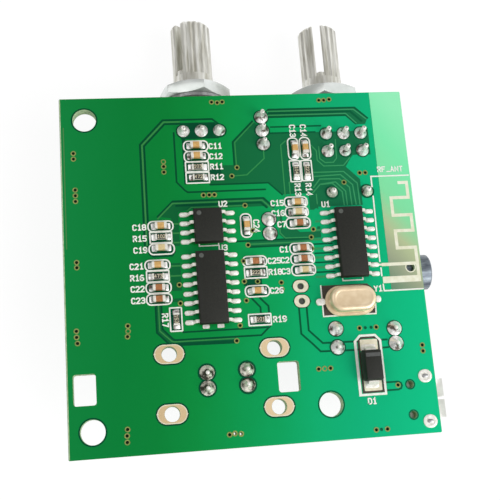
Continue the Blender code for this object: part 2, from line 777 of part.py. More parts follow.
def shaft_frame(x, face_y):
    """The point where the shaft's axis meets the mounting face."""
    return (x, face_y, SHAFT_Z)


def case_outline(half, near, far, corner):
    """A square case seen from the knob; local -Y is towards the board, the far corners are cut."""
    return (
        (-half, near),
        (half, near),
        (half, far - corner),
        (half - corner, far),
        (-half + corner, far),
        (-half, far - corner),
    )


def plate_outline():
    """The front plate, from just under the board to below the shaft."""
    return case_outline(PLATE_WIDTH / 2, PLATE_TOP, PLATE_BELOW_AXIS, PLATE_CORNER)


def wafer_outline():
    """A wafer is a little smaller than the front plate."""
    near = PLATE_TOP + WAFER_TOP_INSET
    return case_outline(WAFER_WIDTH / 2, near, PLATE_BELOW_AXIS - WAFER_END_INSET, WAFER_CORNER)


def build_front(bench, name, x, face_y):
    """Die-cast mounting plate and threaded bush in one piece, bored for the shaft."""
    bm = bmesh.new()
    add_prism(bm, plate_outline(), -PLATE_THICKNESS, 0)
    front = bench.piece(name, bm, "pot_casting", shaft_frame(x, face_y), LIE_DOWN)

    bush = bmesh.new()
    profile = (
        (BUSH_RADIUS, -PLATE_THICKNESS / 2),
        (BUSH_RADIUS, BUSH_LENGTH - BUSH_CHAMFER),
        (BUSH_RADIUS - BUSH_CHAMFER, BUSH_LENGTH),
    )
    add_turned(bush, profile, ROUND_STEPS)
    bench.join(front, bush)

    bore = bmesh.new()
    low = -PLATE_THICKNESS - TOOL_MARGIN
    drill = _cylinder(SHAFT_RADIUS + BUSH_CLEARANCE, low, BUSH_LENGTH + TOOL_MARGIN)
    add_turned(bore, drill, ROUND_STEPS)
    bench.cut(front, bore)


def build_wafer(bench, name, x, face_y, front_drop, depth, terminals, kind, cavity):
    """A wafer or switch case behind the plate, with its terminals up through the board."""
    top = -front_drop
    bm = bmesh.new()
    add_prism(bm, wafer_outline(), top - depth, top)
    wafer = bench.piece(name, bm, "pot_wafer", shaft_frame(x, face_y), LIE_DOWN)

    pins = bmesh.new()
    radius, height, pin_radius, reach = JOINTS[kind]
    root = PLATE_TOP + TERMINAL_ROOT
    tip = -(SHAFT_DROP + BOARD_THICKNESS + reach)
    for px, py in terminals:
        along = py - face_y
        rings = []
        for level, size in ((root, pin_radius), (tip + pin_radius / 2, pin_radius), (tip, pin_radius / 2)):
            rings.append([(px - x + a, level, along + b) for a, b in circle(size, PIN_STEPS)])
        add_loft(pins, rings)
    bench.join(wafer, pins)

    hollow = bmesh.new()
    add_turned(hollow, cavity, ROUND_STEPS)
    bench.cut(wafer, hollow)


def build_cover(bench, name, x, face_y, length):
    """The folded steel strap: a back panel with an arm down each side."""
    inner = WAFER_WIDTH / 2 + PART_GAP
    outer = inner + COVER_THICKNESS
    front = -PLATE_THICKNESS - PART_GAP
    back = -length
    panel = back - COVER_THICKNESS
    outline = (
        (-outer, panel),
        (outer, panel),
        (outer, front),
        (inner, front),
        (inner, back),
        (-inner, back),
        (-inner, front),
        (-outer, front),
    )
    near = PLATE_TOP + COVER_TOP_DROP
    far = PLATE_BELOW_AXIS - PLATE_CORNER * 2
    bm = bmesh.new()
    rings = [[(px, level, pz) for px, pz in outline] for level in (near, far)]
    add_loft(bm, rings)
    bench.piece(name, bm, "pot_steel", shaft_frame(x, face_y), LIE_DOWN, smooth_angle=None)


def knurl_ring(ridge, groove):
    """A toothed outline: a narrow groove, then a broad ridge, for each tooth."""
    points = []
    for tooth in range(KNURL_TEETH):
        for share, radius in ((0.0, groove), (0.3, ridge), (0.7, ridge)):
            angle = 2 * math.pi * (tooth + share) / KNURL_TEETH
            points.append((radius * math.cos(angle), radius * math.sin(angle)))
    return points


def build_shaft(bench, name, x, face_y, lean, spigot_length):
    """A knurled, slotted shaft with the rotor flange that keeps it in its bush."""
    shoulder = SHAFT_LENGTH - KNURL_LENGTH
    flange_top = -PLATE_THICKNESS - ROTOR_GAP
    flange_low = flange_top - ROTOR_THICKNESS
    ridge = SHAFT_RADIUS - KNURL_RELIEF
    groove = ridge - KNURL_DEPTH
    levels = (
        (SPIGOT_RADIUS, SPIGOT_RADIUS, flange_low - spigot_length),
        (SPIGOT_RADIUS, SPIGOT_RADIUS, flange_low),
        (ROTOR_RADIUS, ROTOR_RADIUS, flange_low),
        (ROTOR_RADIUS, ROTOR_RADIUS, flange_top),
        (SHAFT_RADIUS, SHAFT_RADIUS, flange_top),
        (SHAFT_RADIUS, SHAFT_RADIUS, shoulder),
        (ridge, groove, shoulder),
        (ridge, groove, SHAFT_LENGTH - TIP_CHAMFER),
        (ridge - TIP_CHAMFER, groove - TIP_CHAMFER, SHAFT_LENGTH),
    )
    rings = []
    for outer, inner, level in levels:
        rings.append([(px, py, level) for px, py in knurl_ring(outer, inner)])
    bm = bmesh.new()
    add_loft(bm, rings)
    # The shaft lies down first and then leans about its own axis
    turn = (Matrix.Rotation(lean, 3, "Y") @ Matrix.Rotation(LIE_DOWN[0], 3, "X")).to_euler()
    shaft = bench.piece(name, bm, "shaft_aluminium", shaft_frame(x, face_y), turn)

    slot = bmesh.new()
    reach = SHAFT_RADIUS + TOOL_MARGIN
    half = SLOT_WIDTH / 2
    add_box(slot, (-half, -reach, SHAFT_LENGTH - SLOT_LENGTH), (half, reach, SHAFT_LENGTH + TOOL_MARGIN))
    bench.cut(shaft, slot)


def build_nut(bench, name, x, face_y, turn):
    """A thin hexagon nut, chamfered on both faces, near the end of the bush."""
    front = BUSH_LENGTH - NUT_SETBACK
    back = front - NUT_THICKNESS
    bm = bmesh.new()
    add_prism(bm, circle(NUT_CORNER_RADIUS, 6, math.radians(90)), back, front)
    lie = (Matrix.Rotation(turn, 3, "Y") @ Matrix.Rotation(LIE_DOWN[0], 3, "X")).to_euler()
    nut = bench.piece(name, bm, "nut_nickel", shaft_frame(x, face_y), lie, smooth_angle=None)

    cone = bmesh.new()
    flat = NUT_FLATS / 2 * 0.98
    wide = flat + NUT_CHAMFER * 4
    rise = (wide - flat) * 0.5
    envelope = ((flat, back), (wide, back + rise), (wide, front - rise), (flat, front))
    add_turned(cone, envelope, 36)
    bench.apply_tool(nut, cone, "INTERSECT")

    bore = bmesh.new()
    drill = _cylinder(BUSH_RADIUS + THREAD_CLEARANCE, back - TOOL_MARGIN, front + TOOL_MARGIN)
    add_turned(bore, drill, ROUND_STEPS)
    bench.cut(nut, bore)


def build_washer(bench, name, x, face_y):
    """A lock washer with teeth inside, loose on the bush behind the nut."""
    front = BUSH_LENGTH - NUT_SETBACK - NUT_THICKNESS - PART_GAP
    back = front - WASHER_THICKNESS
    bore = BUSH_RADIUS + THREAD_CLEARANCE
    outer = []
    inner = []
    steps = WASHER_TEETH * 4
    for i in range(steps):
        angle = 2 * math.pi * i / steps
        root = bore + (WASHER_TOOTH if i % 4 in (0, 1) else 0.0)
        outer.append((WASHER_RADIUS * math.cos(angle), WASHER_RADIUS * math.sin(angle)))
        inner.append((root * math.cos(angle), root * math.sin(angle)))
    bm = bmesh.new()
    rings = (
        [(px, py, back) for px, py in outer],
        [(px, py, front) for px, py in outer],
        [(px, py, front) for px, py in inner],
        [(px, py, back) for px, py in inner],
    )
    add_loft(bm, rings, closed=True)
    bench.piece(name, bm, "washer_steel", shaft_frame(x, face_y), LIE_DOWN, smooth_angle=None)


def rotor_pocket(front_drop):
    """The rotor's round pocket in the front wafer and the spigot's bore behind it."""
    top = -front_drop
    bore = SPIGOT_RADIUS + SPIGOT_CLEARANCE
    return (
        (bore, top - ROTOR_POCKET_DEPTH - TOOL_MARGIN),
        (bore, top - ROTOR_POCKET_DEPTH),
        (ROTOR_POCKET_RADIUS, top - ROTOR_POCKET_DEPTH),
        (ROTOR_POCKET_RADIUS, top + TOOL_MARGIN),
    )


def build_tone_control(bench):
    """Single potentiometer on the left."""
    drop = PLATE_THICKNESS + PART_GAP
    depth = TONE_WAFER_DEPTH
    spigot = TONE_SPIGOT_LENGTH
    cavity = list(rotor_pocket(drop))
    cavity[0] = (cavity[0][0], -drop - ROTOR_POCKET_DEPTH - spigot)
    terminals = tone_terminals()
    build_front(bench, "tone_pot_front", TONE_X, TONE_FACE_Y)
    build_wafer(bench, "tone_pot_wafer", TONE_X, TONE_FACE_Y, drop, depth, terminals, "tone_pin", cavity)
    build_cover(bench, "tone_pot_cover", TONE_X, TONE_FACE_Y, drop + depth + PART_GAP)
    build_shaft(bench, "tone_shaft", TONE_X, TONE_FACE_Y, TONE_SLOT_LEAN, spigot)
    build_washer(bench, "tone_washer", TONE_X, TONE_FACE_Y)
    build_nut(bench, "tone_nut", TONE_X, TONE_FACE_Y, TONE_NUT_TURN)


def build_volume_control(bench):
    """Double potentiometer with a switch behind it, on the right."""
    drop = PLATE_THICKNESS + PART_GAP
    rear_drop = drop + VOLUME_WAFER_DEPTH + STACK_GAP
    switch_drop = rear_drop + VOLUME_REAR_WAFER_DEPTH + STACK_GAP
    switch_end = switch_drop + VOLUME_SWITCH_DEPTH
    bore = SPIGOT_RADIUS + SPIGOT_CLEARANCE
    switch_bore = VOLUME_SWITCH_BORE_DEPTH
    rotor_end = PLATE_THICKNESS + ROTOR_GAP + ROTOR_THICKNESS
    spigot = switch_drop + switch_bore - 2 * SPIGOT_CLEARANCE - rotor_end
    front_cavity = list(rotor_pocket(drop))
    front_cavity[0] = (bore, -rear_drop - TOOL_MARGIN)
    rear_cavity = _cylinder(bore, -switch_drop - TOOL_MARGIN, -rear_drop + TOOL_MARGIN)
    switch_cavity = _cylinder(bore, -switch_drop - switch_bore, -switch_drop + TOOL_MARGIN)
    build_front(bench, "volume_pot_front", VOLUME_X, VOLUME_FACE_Y)
    rear_depth = VOLUME_REAR_WAFER_DEPTH
    stack = (
        ("volume_wafer_front", drop, VOLUME_WAFER_DEPTH, volume_terminals(), "volume_pin", front_cavity),
        ("volume_wafer_rear", rear_drop, rear_depth, volume_rear_terminals(), "volume_pin", rear_cavity),
        ("volume_switch", switch_drop, VOLUME_SWITCH_DEPTH, switch_terminals(), "switch_pin", switch_cavity),
    )
    for name, front_drop, depth, terminals, kind, cavity in stack:
        build_wafer(bench, name, VOLUME_X, VOLUME_FACE_Y, front_drop, depth, terminals, kind, cavity)
    build_cover(bench, "volume_pot_cover", VOLUME_X, VOLUME_FACE_Y, switch_end + PART_GAP)
    build_shaft(bench, "volume_shaft", VOLUME_X, VOLUME_FACE_Y, VOLUME_SLOT_LEAN, spigot)
    build_washer(bench, "volume_washer", VOLUME_X, VOLUME_FACE_Y)
    build_nut(bench, "volume_nut", VOLUME_X, VOLUME_FACE_Y, VOLUME_NUT_TURN)


def build_jack(bench):
    """Surface-mounted jack: moulded body, round nose past the edge, one locating peg."""
    top = HIDDEN_FACE_Z - PART_GAP
    low = top - JACK_HEIGHT
    face = HALF_BOARD - JACK_FACE_INSET
    back = face - JACK_LENGTH
    axis_z = (top + low) / 2
    bm = bmesh.new()
    rings = []
    outline = chamfered_outline(JACK_WIDTH / 2, JACK_HEIGHT / 2, JACK_EDGE)
    for x in (back, face):
        rings.append([(x, JACK_Y + y, axis_z + z) for y, z in outline])
    add_loft(bm, rings)
    jack = bench.piece("audio_jack", bm, "jack_black", smooth_angle=None)

    adds = bmesh.new()
    nose_tip = HALF_BOARD + JACK_NOSE_REACH
    steps = circle(1.0, ROUND_STEPS)
    nose_root = face - JACK_NOSE_ROOT
    edge = JACK_NOSE_EDGE
    rings = []
    for x, inset in ((nose_root, 0.0), (nose_tip - edge, 0.0), (nose_tip, edge)):
        radius = JACK_NOSE_RADIUS - inset
        rings.append([(x, JACK_Y + radius * y, axis_z + radius * z) for y, z in steps])
    add_loft(adds, rings)
    x, y = jack_peg_place()
    peg = _cylinder(JACK_PEG_RADIUS, top - JACK_PEG_ROOT, HIDDEN_FACE_Z + BOARD_THICKNESS * 0.6)
    add_turned(adds, peg, 12, (x, y, 0))
    tab_length, tab_reach, tab_thick = JACK_TAB
    tab_z = top - JACK_TAB_DROP
    first_tab = face - JACK_TAB_FRONT_INSET
    last_tab = back + JACK_TAB_BACK_INSET
    reaches = (JACK_WIDTH / 2 - JACK_TAB_ROOT, JACK_WIDTH / 2 + tab_reach)
    for i in range(JACK_TAB_COUNT):
        x = first_tab + (last_tab - first_tab) * i / (JACK_TAB_COUNT - 1)
        for side in (-1, 1):
            near, far = sorted(JACK_Y + side * reach for reach in reaches)
            tab_low = (x - tab_length / 2, near, tab_z - tab_thick)
            add_box(adds, tab_low, (x + tab_length / 2, far, tab_z))
    bench.join(jack, adds)

    cuts = bmesh.new()
    rings = []
    bore = JACK_BORE_RADIUS
    for x in (back + JACK_BACK_WALL, nose_tip + TOOL_MARGIN):
        rings.append([(x, JACK_Y + bore * y, axis_z + bore * z) for y, z in steps])
    add_loft(cuts, rings)
    slot_length, slot_width, slot_depth = JACK_CONTACT_SLOT
    for side in (-1, 1):
        x = back + JACK_LENGTH / 2
        y = JACK_Y + side * JACK_WIDTH / 4
        corner = (x - slot_length, y - slot_width / 2, low - TOOL_MARGIN)
        add_box(cuts, corner, (x + slot_length, y + slot_width / 2, low + slot_depth))
    bench.cut(jack, cuts)


def usb_outline(inset=0.0):
    """The socket's section: narrow towards the board, wide below, as (y, drop from the top)."""
    narrow = USB_NARROW / 2 - inset * 0.6
    wide = USB_WIDE / 2 - inset
    deep = USB_HEIGHT - inset
    return (
        (-narrow, inset),
        (narrow, inset),
        (wide, USB_SHOULDER + inset * 0.4),
        (wide, deep),
        (-wide, deep),
        (-wide, USB_SHOULDER + inset * 0.4),
    )


def build_usb(bench):
    """Folded steel shell with flared lips and soldered legs, round a moulded tongue."""
    top = HIDDEN_FACE_Z - PART_GAP
    mouth = HALF_BOARD + USB_REACH
    back = mouth - USB_LENGTH
    tip = mouth + USB_LIP_LENGTH

    def ring(x, inset):
        return [(x, USB_Y + y, top - drop) for y, drop in usb_outline(inset)]

    bm = bmesh.new()
    rings = (ring(back, 0), ring(mouth, 0), ring(mouth, USB_WALL), ring(back, USB_WALL))
    add_loft(bm, rings, closed=True)
    shell = bench.piece("usb_shell", bm, "usb_steel", smooth_angle=None)

    adds = bmesh.new()
    for x, y in usb_leg_places():
        leg_root = top - USB_SHOULDER - USB_LEG_ROOT
        leg = _cylinder(USB_LEG_RADIUS, leg_root, HIDDEN_FACE_Z + BOARD_THICKNESS * 0.8)
        add_turned(adds, leg, PIN_STEPS, (x, y, 0))
    middle = top - USB_HEIGHT / 2
    half = USB_NARROW / 2
    root_out = USB_HEIGHT / 2 - (USB_WALL - USB_LIP_THICKNESS) / 2
    for side in (-1, 1):
        rings = []
        for x, flare in ((mouth - USB_LIP_ROOT, 0), (mouth, 0), (tip, USB_LIP_FLARE)):
            outer = middle + side * (root_out + flare)
            inner = outer - side * USB_LIP_THICKNESS
            corners = ((-half, inner), (half, inner), (half, outer), (-half, outer))
            rings.append([(x, USB_Y + y, z) for y, z in corners])
        add_loft(adds, rings)
    bench.join(shell, adds)

    inside = bmesh.new()
    rings = [ring(x, USB_WALL) for x in (back - TOOL_MARGIN, mouth + TOOL_MARGIN)]
    add_loft(inside, rings)
    bench.cut(shell, inside)
    seam = bmesh.new()
    half = USB_SEAM / 2
    seam_low = (mouth + USB_SEAM, USB_Y - half, middle)
    add_box(seam, seam_low, (tip + TOOL_MARGIN, USB_Y + half, top + 2 * USB_LIP_FLARE))
    bench.cut(shell, seam)

    block = bmesh.new()
    inset = USB_WALL + PART_GAP
    rings = [ring(x, inset) for x in (back + PART_GAP, back + USB_BLOCK_LENGTH)]
    add_loft(block, rings)
    tongue = bench.piece("usb_tongue", block, "usb_black", smooth_angle=None)

    adds = bmesh.new()
    reach, width, thick = USB_TONGUE
    middle = top - USB_HEIGHT / 2
    block_end = back + USB_BLOCK_LENGTH
    blade_low = (block_end - USB_TONGUE_ROOT, USB_Y - width / 2, middle - thick / 2)
    add_box(adds, blade_low, (block_end + reach, USB_Y + width / 2, middle + thick / 2))
    bench.join(tongue, adds)


def build_header(bench, name, place, count, kind):
    """An open-topped plug header with square walls, two key slots and straight pins."""
    x, y = place
    top = HIDDEN_FACE_Z - PART_GAP
    low = top - HEADER_HEIGHT
    half_y = (count - 1) * HEADER_PITCH / 2 + HEADER_END
    left = -HEADER_DEPTH / 2 + HEADER_PIN_SHIFT
    right = left + HEADER_DEPTH
    bm = bmesh.new()
    add_box(bm, (left, -half_y, low), (right, half_y, top))
    body = bench.piece(name, bm, "header_white", (x, y, 0), smooth_angle=None)

    cavity = bmesh.new()
    wall = HEADER_WALL
    floor = top - HEADER_FLOOR
    cavity_low = (left + wall, -half_y + wall, low - TOOL_MARGIN)
    add_box(cavity, cavity_low, (right - wall, half_y - wall, floor))
    bench.cut(body, cavity)

    slots = bmesh.new()
    half_slot = HEADER_KEY_SLOT / 2
    for side in (-1, 1):
        middle = side * (half_y - HEADER_END * 0.75)
        slot_low = (right - 2 * wall, middle - half_slot, low - TOOL_MARGIN)
        add_box(slots, slot_low, (right + TOOL_MARGIN, middle + half_slot, floor - HEADER_KEY_FLOOR))
    bench.cut(body, slots)

    pins = bmesh.new()
    radius, height, pin_radius, reach = JOINTS[kind]
    tip = low + HEADER_PIN_TIP_DROP
    for px, py in pin_column(0, 0, count, HEADER_PITCH):
        profile = (
            (pin_radius / 2, tip),
            (pin_radius, tip + pin_radius / 2),
            (pin_radius, reach - pin_radius / 2),
            (pin_radius / 2, reach),
        )
        add_turned(pins, profile, PIN_STEPS, (px, py, 0))
    bench.join(body, pins)


def build_electrolytics(bench):
    """Rolled-groove capacitor cans hanging under the board on two leads."""
    for name, (x, y, radius, pitch) in ELECTROLYTICS.items():
        base = HIDDEN_FACE_Z - CAN_STANDOFF
        end = base - CAN_HEIGHT
        groove = base - CAN_GROOVE_DROP
        profile = (
            (radius * 0.8, end + CAN_TOP_RECESS),
            (radius - CAN_EDGE, end),
            (radius, end + CAN_EDGE),
            (radius, groove - CAN_GROOVE_HALF),
            (radius - CAN_GROOVE_DEPTH, groove),
            (radius, groove + CAN_GROOVE_HALF),
            (radius, base - CAN_EDGE),
            (radius - CAN_EDGE, base),
        )
        bm = bmesh.new()
        add_turned(bm, profile, CAN_STEPS)
        can = bench.piece(name, bm, "can_black", (x, y, 0))
        leads = bmesh.new()
        add_pins(leads, pin_column(0, 0, 2, pitch), "dome", base - CAN_LEAD_ROOT)
        bench.join(can, leads)


def stand_datum():
    """The empty that stands the board on the ground, over the middle of its outline."""
    jack_tip = HALF_BOARD + JACK_NOSE_REACH
    usb_tip = HALF_BOARD + USB_REACH + USB_LIP_LENGTH
    right = max(jack_tip, usb_tip)
    left = -HALF_BOARD
    knob_end = max(TONE_FACE_Y, VOLUME_FACE_Y) + SHAFT_LENGTH
    far = -HALF_BOARD
    lowest_nut = min(lowest_corner(TONE_NUT_TURN), lowest_corner(VOLUME_NUT_TURN))
    case_bottom = SHAFT_Z - PLATE_BELOW_AXIS
    can_bottom = HIDDEN_FACE_Z - CAN_STANDOFF - CAN_HEIGHT
    lowest = min(lowest_nut, case_bottom, can_bottom)
    datum = bpy.data.objects.new("board_datum", None)
    bpy.context.collection.objects.link(datum)
    datum.location = Vector((-(left + right) / 2, -(knob_end + far) / 2, -lowest))
    return datum


def lowest_corner(turn):
    """Height of a nut's lowest corner."""
    angles = [math.radians(60 * i) + turn for i in range(6)]
    return SHAFT_Z - NUT_CORNER_RADIUS * max(math.cos(angle) for angle in angles)


def build():
    clear_scene()
    bench = Bench(stand_datum(), make_materials())
    build_board(bench)
    build_chips(bench)
    build_integrated_circuits(bench)
    build_crystal(bench)
    build_rectifier(bench)
    build_tone_control(bench)
    build_volume_control(bench)
    build_jack(bench)
    build_usb(bench)
    build_header(bench, "line_header", LINE_HEADER, LINE_HEADER_PIN_COUNT, "header_pin")
    for name, place in SPEAKER_HEADERS.items():
        build_header(bench, name, place, SPEAKER_HEADER_PIN_COUNT, "dome")
    build_electrolytics(bench)


build()
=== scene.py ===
import math

import bmesh
import bpy
from mathutils import Matrix, Vector
from mathutils.geometry import tessellate_polygon


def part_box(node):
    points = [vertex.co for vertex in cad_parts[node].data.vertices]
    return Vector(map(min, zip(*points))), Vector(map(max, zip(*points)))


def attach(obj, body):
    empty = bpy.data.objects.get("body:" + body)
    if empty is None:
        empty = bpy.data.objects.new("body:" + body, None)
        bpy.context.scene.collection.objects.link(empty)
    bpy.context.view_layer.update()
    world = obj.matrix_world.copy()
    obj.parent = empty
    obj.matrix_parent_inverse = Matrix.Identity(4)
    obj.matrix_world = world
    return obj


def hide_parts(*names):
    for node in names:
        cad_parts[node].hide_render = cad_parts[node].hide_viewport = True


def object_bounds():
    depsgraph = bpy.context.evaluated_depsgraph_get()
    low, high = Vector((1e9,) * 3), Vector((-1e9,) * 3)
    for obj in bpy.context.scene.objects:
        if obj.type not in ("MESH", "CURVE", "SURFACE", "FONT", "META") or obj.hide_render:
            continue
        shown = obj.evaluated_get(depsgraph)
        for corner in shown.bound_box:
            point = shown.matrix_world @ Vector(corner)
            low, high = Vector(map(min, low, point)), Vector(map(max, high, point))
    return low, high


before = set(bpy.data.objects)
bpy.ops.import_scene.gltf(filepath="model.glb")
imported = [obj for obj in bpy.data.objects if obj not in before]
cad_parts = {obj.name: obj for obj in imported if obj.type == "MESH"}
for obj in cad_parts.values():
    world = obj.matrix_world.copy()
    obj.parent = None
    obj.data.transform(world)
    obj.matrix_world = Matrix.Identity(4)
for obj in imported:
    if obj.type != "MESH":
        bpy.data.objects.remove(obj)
cad_low, cad_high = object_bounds()

# All sizes below are millimetres in the board's own axes: origin on the soldered face, knobs towards +Y.
MM = 0.001
BOARD_THICKNESS = 1.6
BOARD_CORNER = 0.15
board_low, board_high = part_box("circuit_board")
ORIGIN = Vector((
    (board_low.x + board_high.x) / 2,
    (board_low.y + board_high.y) / 2,
    board_low.z + BOARD_THICKNESS * MM,
))
HALF_BOARD = (board_high.x - board_low.x) / 2 / MM


def at(x, y, z=0.0):
    """A point of the board's axes as a place in the frame."""
    return ORIGIN + Vector((x, y, z)) * MM


def box_mm(node):
    """A CAD node's box in the board's axes, and its middle in X and Y."""
    low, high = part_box(node)
    low, high = (low - ORIGIN) / MM, (high - ORIGIN) / MM
    return low, high, (low.x + high.x) / 2, (low.y + high.y) / 2


def put(name, data):
    """An object in the scene for a mesh, a lamp or a camera."""
    item = bpy.data.objects.new(name, data)
    bpy.context.scene.collection.objects.link(item)
    return item


# Colours and materials
def shade(red, green, blue):
    """An sRGB colour from 0 to 255 as the shader takes it."""
    def linear(value):
        value /= 255
        if value <= 0.04045:
            return value / 12.92
        return ((value + 0.055) / 1.055) ** 2.4
    return linear(red), linear(green), linear(blue), 1.0


def make(tree, kind, operation=None, second=None, **inputs):
    """A shader node, with its operation, its second input and the inputs that are given by name."""
    node = tree.nodes.new("ShaderNode" + kind)
    if operation:
        node.operation = operation
    if second is not None:
        node.inputs[1].default_value = second
    for name, value in inputs.items():
        node.inputs[name.replace("_", " ")].default_value = value
    return node


def join(source, output, target, socket):
    source.id_data.links.new(source.outputs[output], target.inputs[socket])


def make_ramp(tree, stops):
    """A colour ramp through stops, each a position and a colour."""
    ramp = make(tree, "ValToRGB")
    elements = ramp.color_ramp.elements
    while len(elements) < len(stops):
        elements.new(0.5)
    for element, (position, colour) in zip(elements, stops):
        element.position = position
        element.color = colour
    return ramp


def start_material(name):
    material = bpy.data.materials.new(name)
    material.use_nodes = True
    return material, material.node_tree


def finished(name, roughness, metallic=0.0, specular=0.5, tint=None, grain=1.0, stretch=(1, 1, 1),
             relief=0.0):
    """A material with noise tied to the object, grain millimetres to a spot, and a bump of relief if any."""
    material, tree = start_material(name)
    shader = tree.nodes["Principled BSDF"]
    shader.inputs["Roughness"].default_value = roughness
    shader.inputs["Metallic"].default_value = metallic
    shader.inputs["Specular IOR Level"].default_value = specular
    if tint:
        shader.inputs["Specular Tint"].default_value = tint
    place = make(tree, "TexCoord")
    squeeze = make(tree, "VectorMath", "MULTIPLY", stretch)
    noise = make(tree, "TexNoise", Scale=1 / (grain * MM))
    join(place, "Object", squeeze, 0)
    join(squeeze, "Vector", noise, "Vector")
    if relief:
        bump = make(tree, "Bump", Strength=1.0, Distance=relief * MM)
        join(noise, "Fac", bump, "Height")
        join(bump, "Normal", shader, "Normal")
    return material, tree, shader, place, noise


def grained(name, dark, light, grain, roughness, spread=(0.3, 0.7), **finish):
    """A material that wavers between two colours, over a spread of the noise."""
    material, tree, shader, place, noise = finished(name, roughness, grain=grain, **finish)
    ramp = make_ramp(tree, ((spread[0], shade(*dark)), (spread[1], shade(*light))))
    join(noise, "Fac", ramp, "Fac")
    join(ramp, "Color", shader, "Base Color")
    return material


def graded(name, stops, roughness, along, span, waver=0.04, **finish):
    """A coating whose colour runs through stops along a direction over span, two places in millimetres."""
    material, tree, shader, place, noise = finished(name, roughness, grain=WAVER_GRAIN, **finish)
    shift = make(tree, "VectorMath", "SUBTRACT", ORIGIN)
    run = make(tree, "VectorMath", "DOT_PRODUCT", Vector(along))
    scale = make(tree, "MapRange", From_Min=span[0] * MM, From_Max=span[1] * MM)
    stir = make(tree, "Math", "MULTIPLY_ADD", waver)
    ramp = make_ramp(tree, [(position, shade(*colour)) for position, colour in stops])
    join(place, "Object", shift, 0)
    join(shift, "Vector", run, 0)
    join(run, "Value", scale, "Value")
    join(noise, "Fac", stir, 0)
    join(scale, "Result", stir, 2)
    join(stir, "Value", ramp, "Fac")
    join(ramp, "Color", shader, "Base Color")
    return material


WAVER_GRAIN = 2.4
MASK_TINT = (0.08, 0.75, 0.8, 1.0)
# The mask coats below share one run across the board, lighter and bluer to the right. Their base greens are
# the mask's own; the run from left to right is painted light from the lamps on the right.
PAINTED_LIGHT_RUN = ((0.97, -0.08, 0.0), (-25.0, 25.0))
MASK = graded(
    "solder_mask",
    ((0.0, (17, 128, 48)), (0.2, (9, 122, 38)), (0.3, (9, 125, 38)), (0.4, (11, 136, 48)),
     (0.48, (11, 145, 62)), (0.6, (12, 158, 82)), (0.7, (14, 170, 102)), (0.82, (14, 174, 114)),
     (1.0, (13, 190, 127))),
    0.32, *PAINTED_LIGHT_RUN, relief=0.004, tint=MASK_TINT)
BARE_MASK = graded(
    "mask_between_copper",
    ((0.0, (18, 84, 28)), (0.4, (16, 96, 36)), (0.55, (20, 104, 50)), (1.0, (28, 110, 66))),
    0.34, *PAINTED_LIGHT_RUN, tint=MASK_TINT)
GAP_MASK = graded(
    "mask_in_narrow_gaps",
    ((0.0, (2, 58, 14)), (0.45, (4, 70, 24)), (1.0, (12, 92, 50))), 0.34, *PAINTED_LIGHT_RUN, tint=MASK_TINT)
TRACE_MASK = graded(
    "mask_over_traces",
    ((0.0, (74, 130, 64)), (0.45, (50, 136, 60)), (0.75, (58, 148, 88)), (1.0, (64, 164, 114))),
    0.28, *PAINTED_LIGHT_RUN, tint=MASK_TINT)
# The bare laminate strip under the mask is paler than the board. Its pale mint is painted light shining
# through the strip from below, and its brown-grey end towards the jack is the jack's painted shadow seen
# through it.
STRIP_MASK_PAINTED_LIGHT = graded(
    "mask_over_bare_laminate_painted_light_and_shadow",
    ((0.0, (100, 134, 104)), (0.16, (158, 164, 134)), (0.3, (184, 194, 148)),
     (0.46, (134, 224, 162)), (0.75, (128, 236, 174)), (1.0, (152, 242, 188))),
    0.34, (1.1, 0.9, 0.0), (18.0, 46.0), tint=MASK_TINT)
LAMINATE = grained("laminate_edge", (150, 178, 136), (190, 206, 168), 0.5, 0.75, relief=0.02)
SILK = grained("white_ink", (232, 236, 226), (246, 247, 240), 0.5, 0.6)
# The tinned pads are tan of their own, and grow paler to the right along the same run: painted light.
TINNED = graded(
    "tinned_pads", ((0.2, (198, 172, 128)), (0.5, (220, 194, 150)), (1.0, (232, 214, 180))),
    0.42, *PAINTED_LIGHT_RUN, waver=0.1, relief=0.008)
TINNED_RIM = grained("pad_rims", (220, 212, 184), (236, 230, 206), 0.5, 0.35)
BARE_COPPER = grained("masked_antenna_copper", (226, 226, 196), (242, 242, 222), 0.8, 0.5)
VIA_RING = grained("covered_via_rings", (112, 132, 58), (150, 160, 84), 0.4, 0.4)
# The plate has no holes at these vias: their near-black discs are the painted shade inside the holes.
VIA_HOLE = grained("painted_shade_in_via_holes", (8, 16, 8), (20, 30, 18), 0.2, 0.9, specular=0.1)
# Both solders jump in patches between a dark and a near-white colour: these patches are painted reflections
# and glints. The dull solder is darker over its whole range.
SOLDER = grained(
    "solder", (110, 98, 90), (252, 250, 248), 0.9, 0.2, metallic=0.45, relief=0.12, spread=(0.34, 0.5))
DULL_SOLDER = grained(
    "dull_solder", (62, 60, 50), (240, 236, 222), 0.9, 0.2, metallic=0.45, relief=0.12, spread=(0.38, 0.56))
BRIGHT_TIN = grained("bright_tin", (226, 224, 212), (252, 251, 246), 0.4, 0.3, metallic=0.1, relief=0.03)
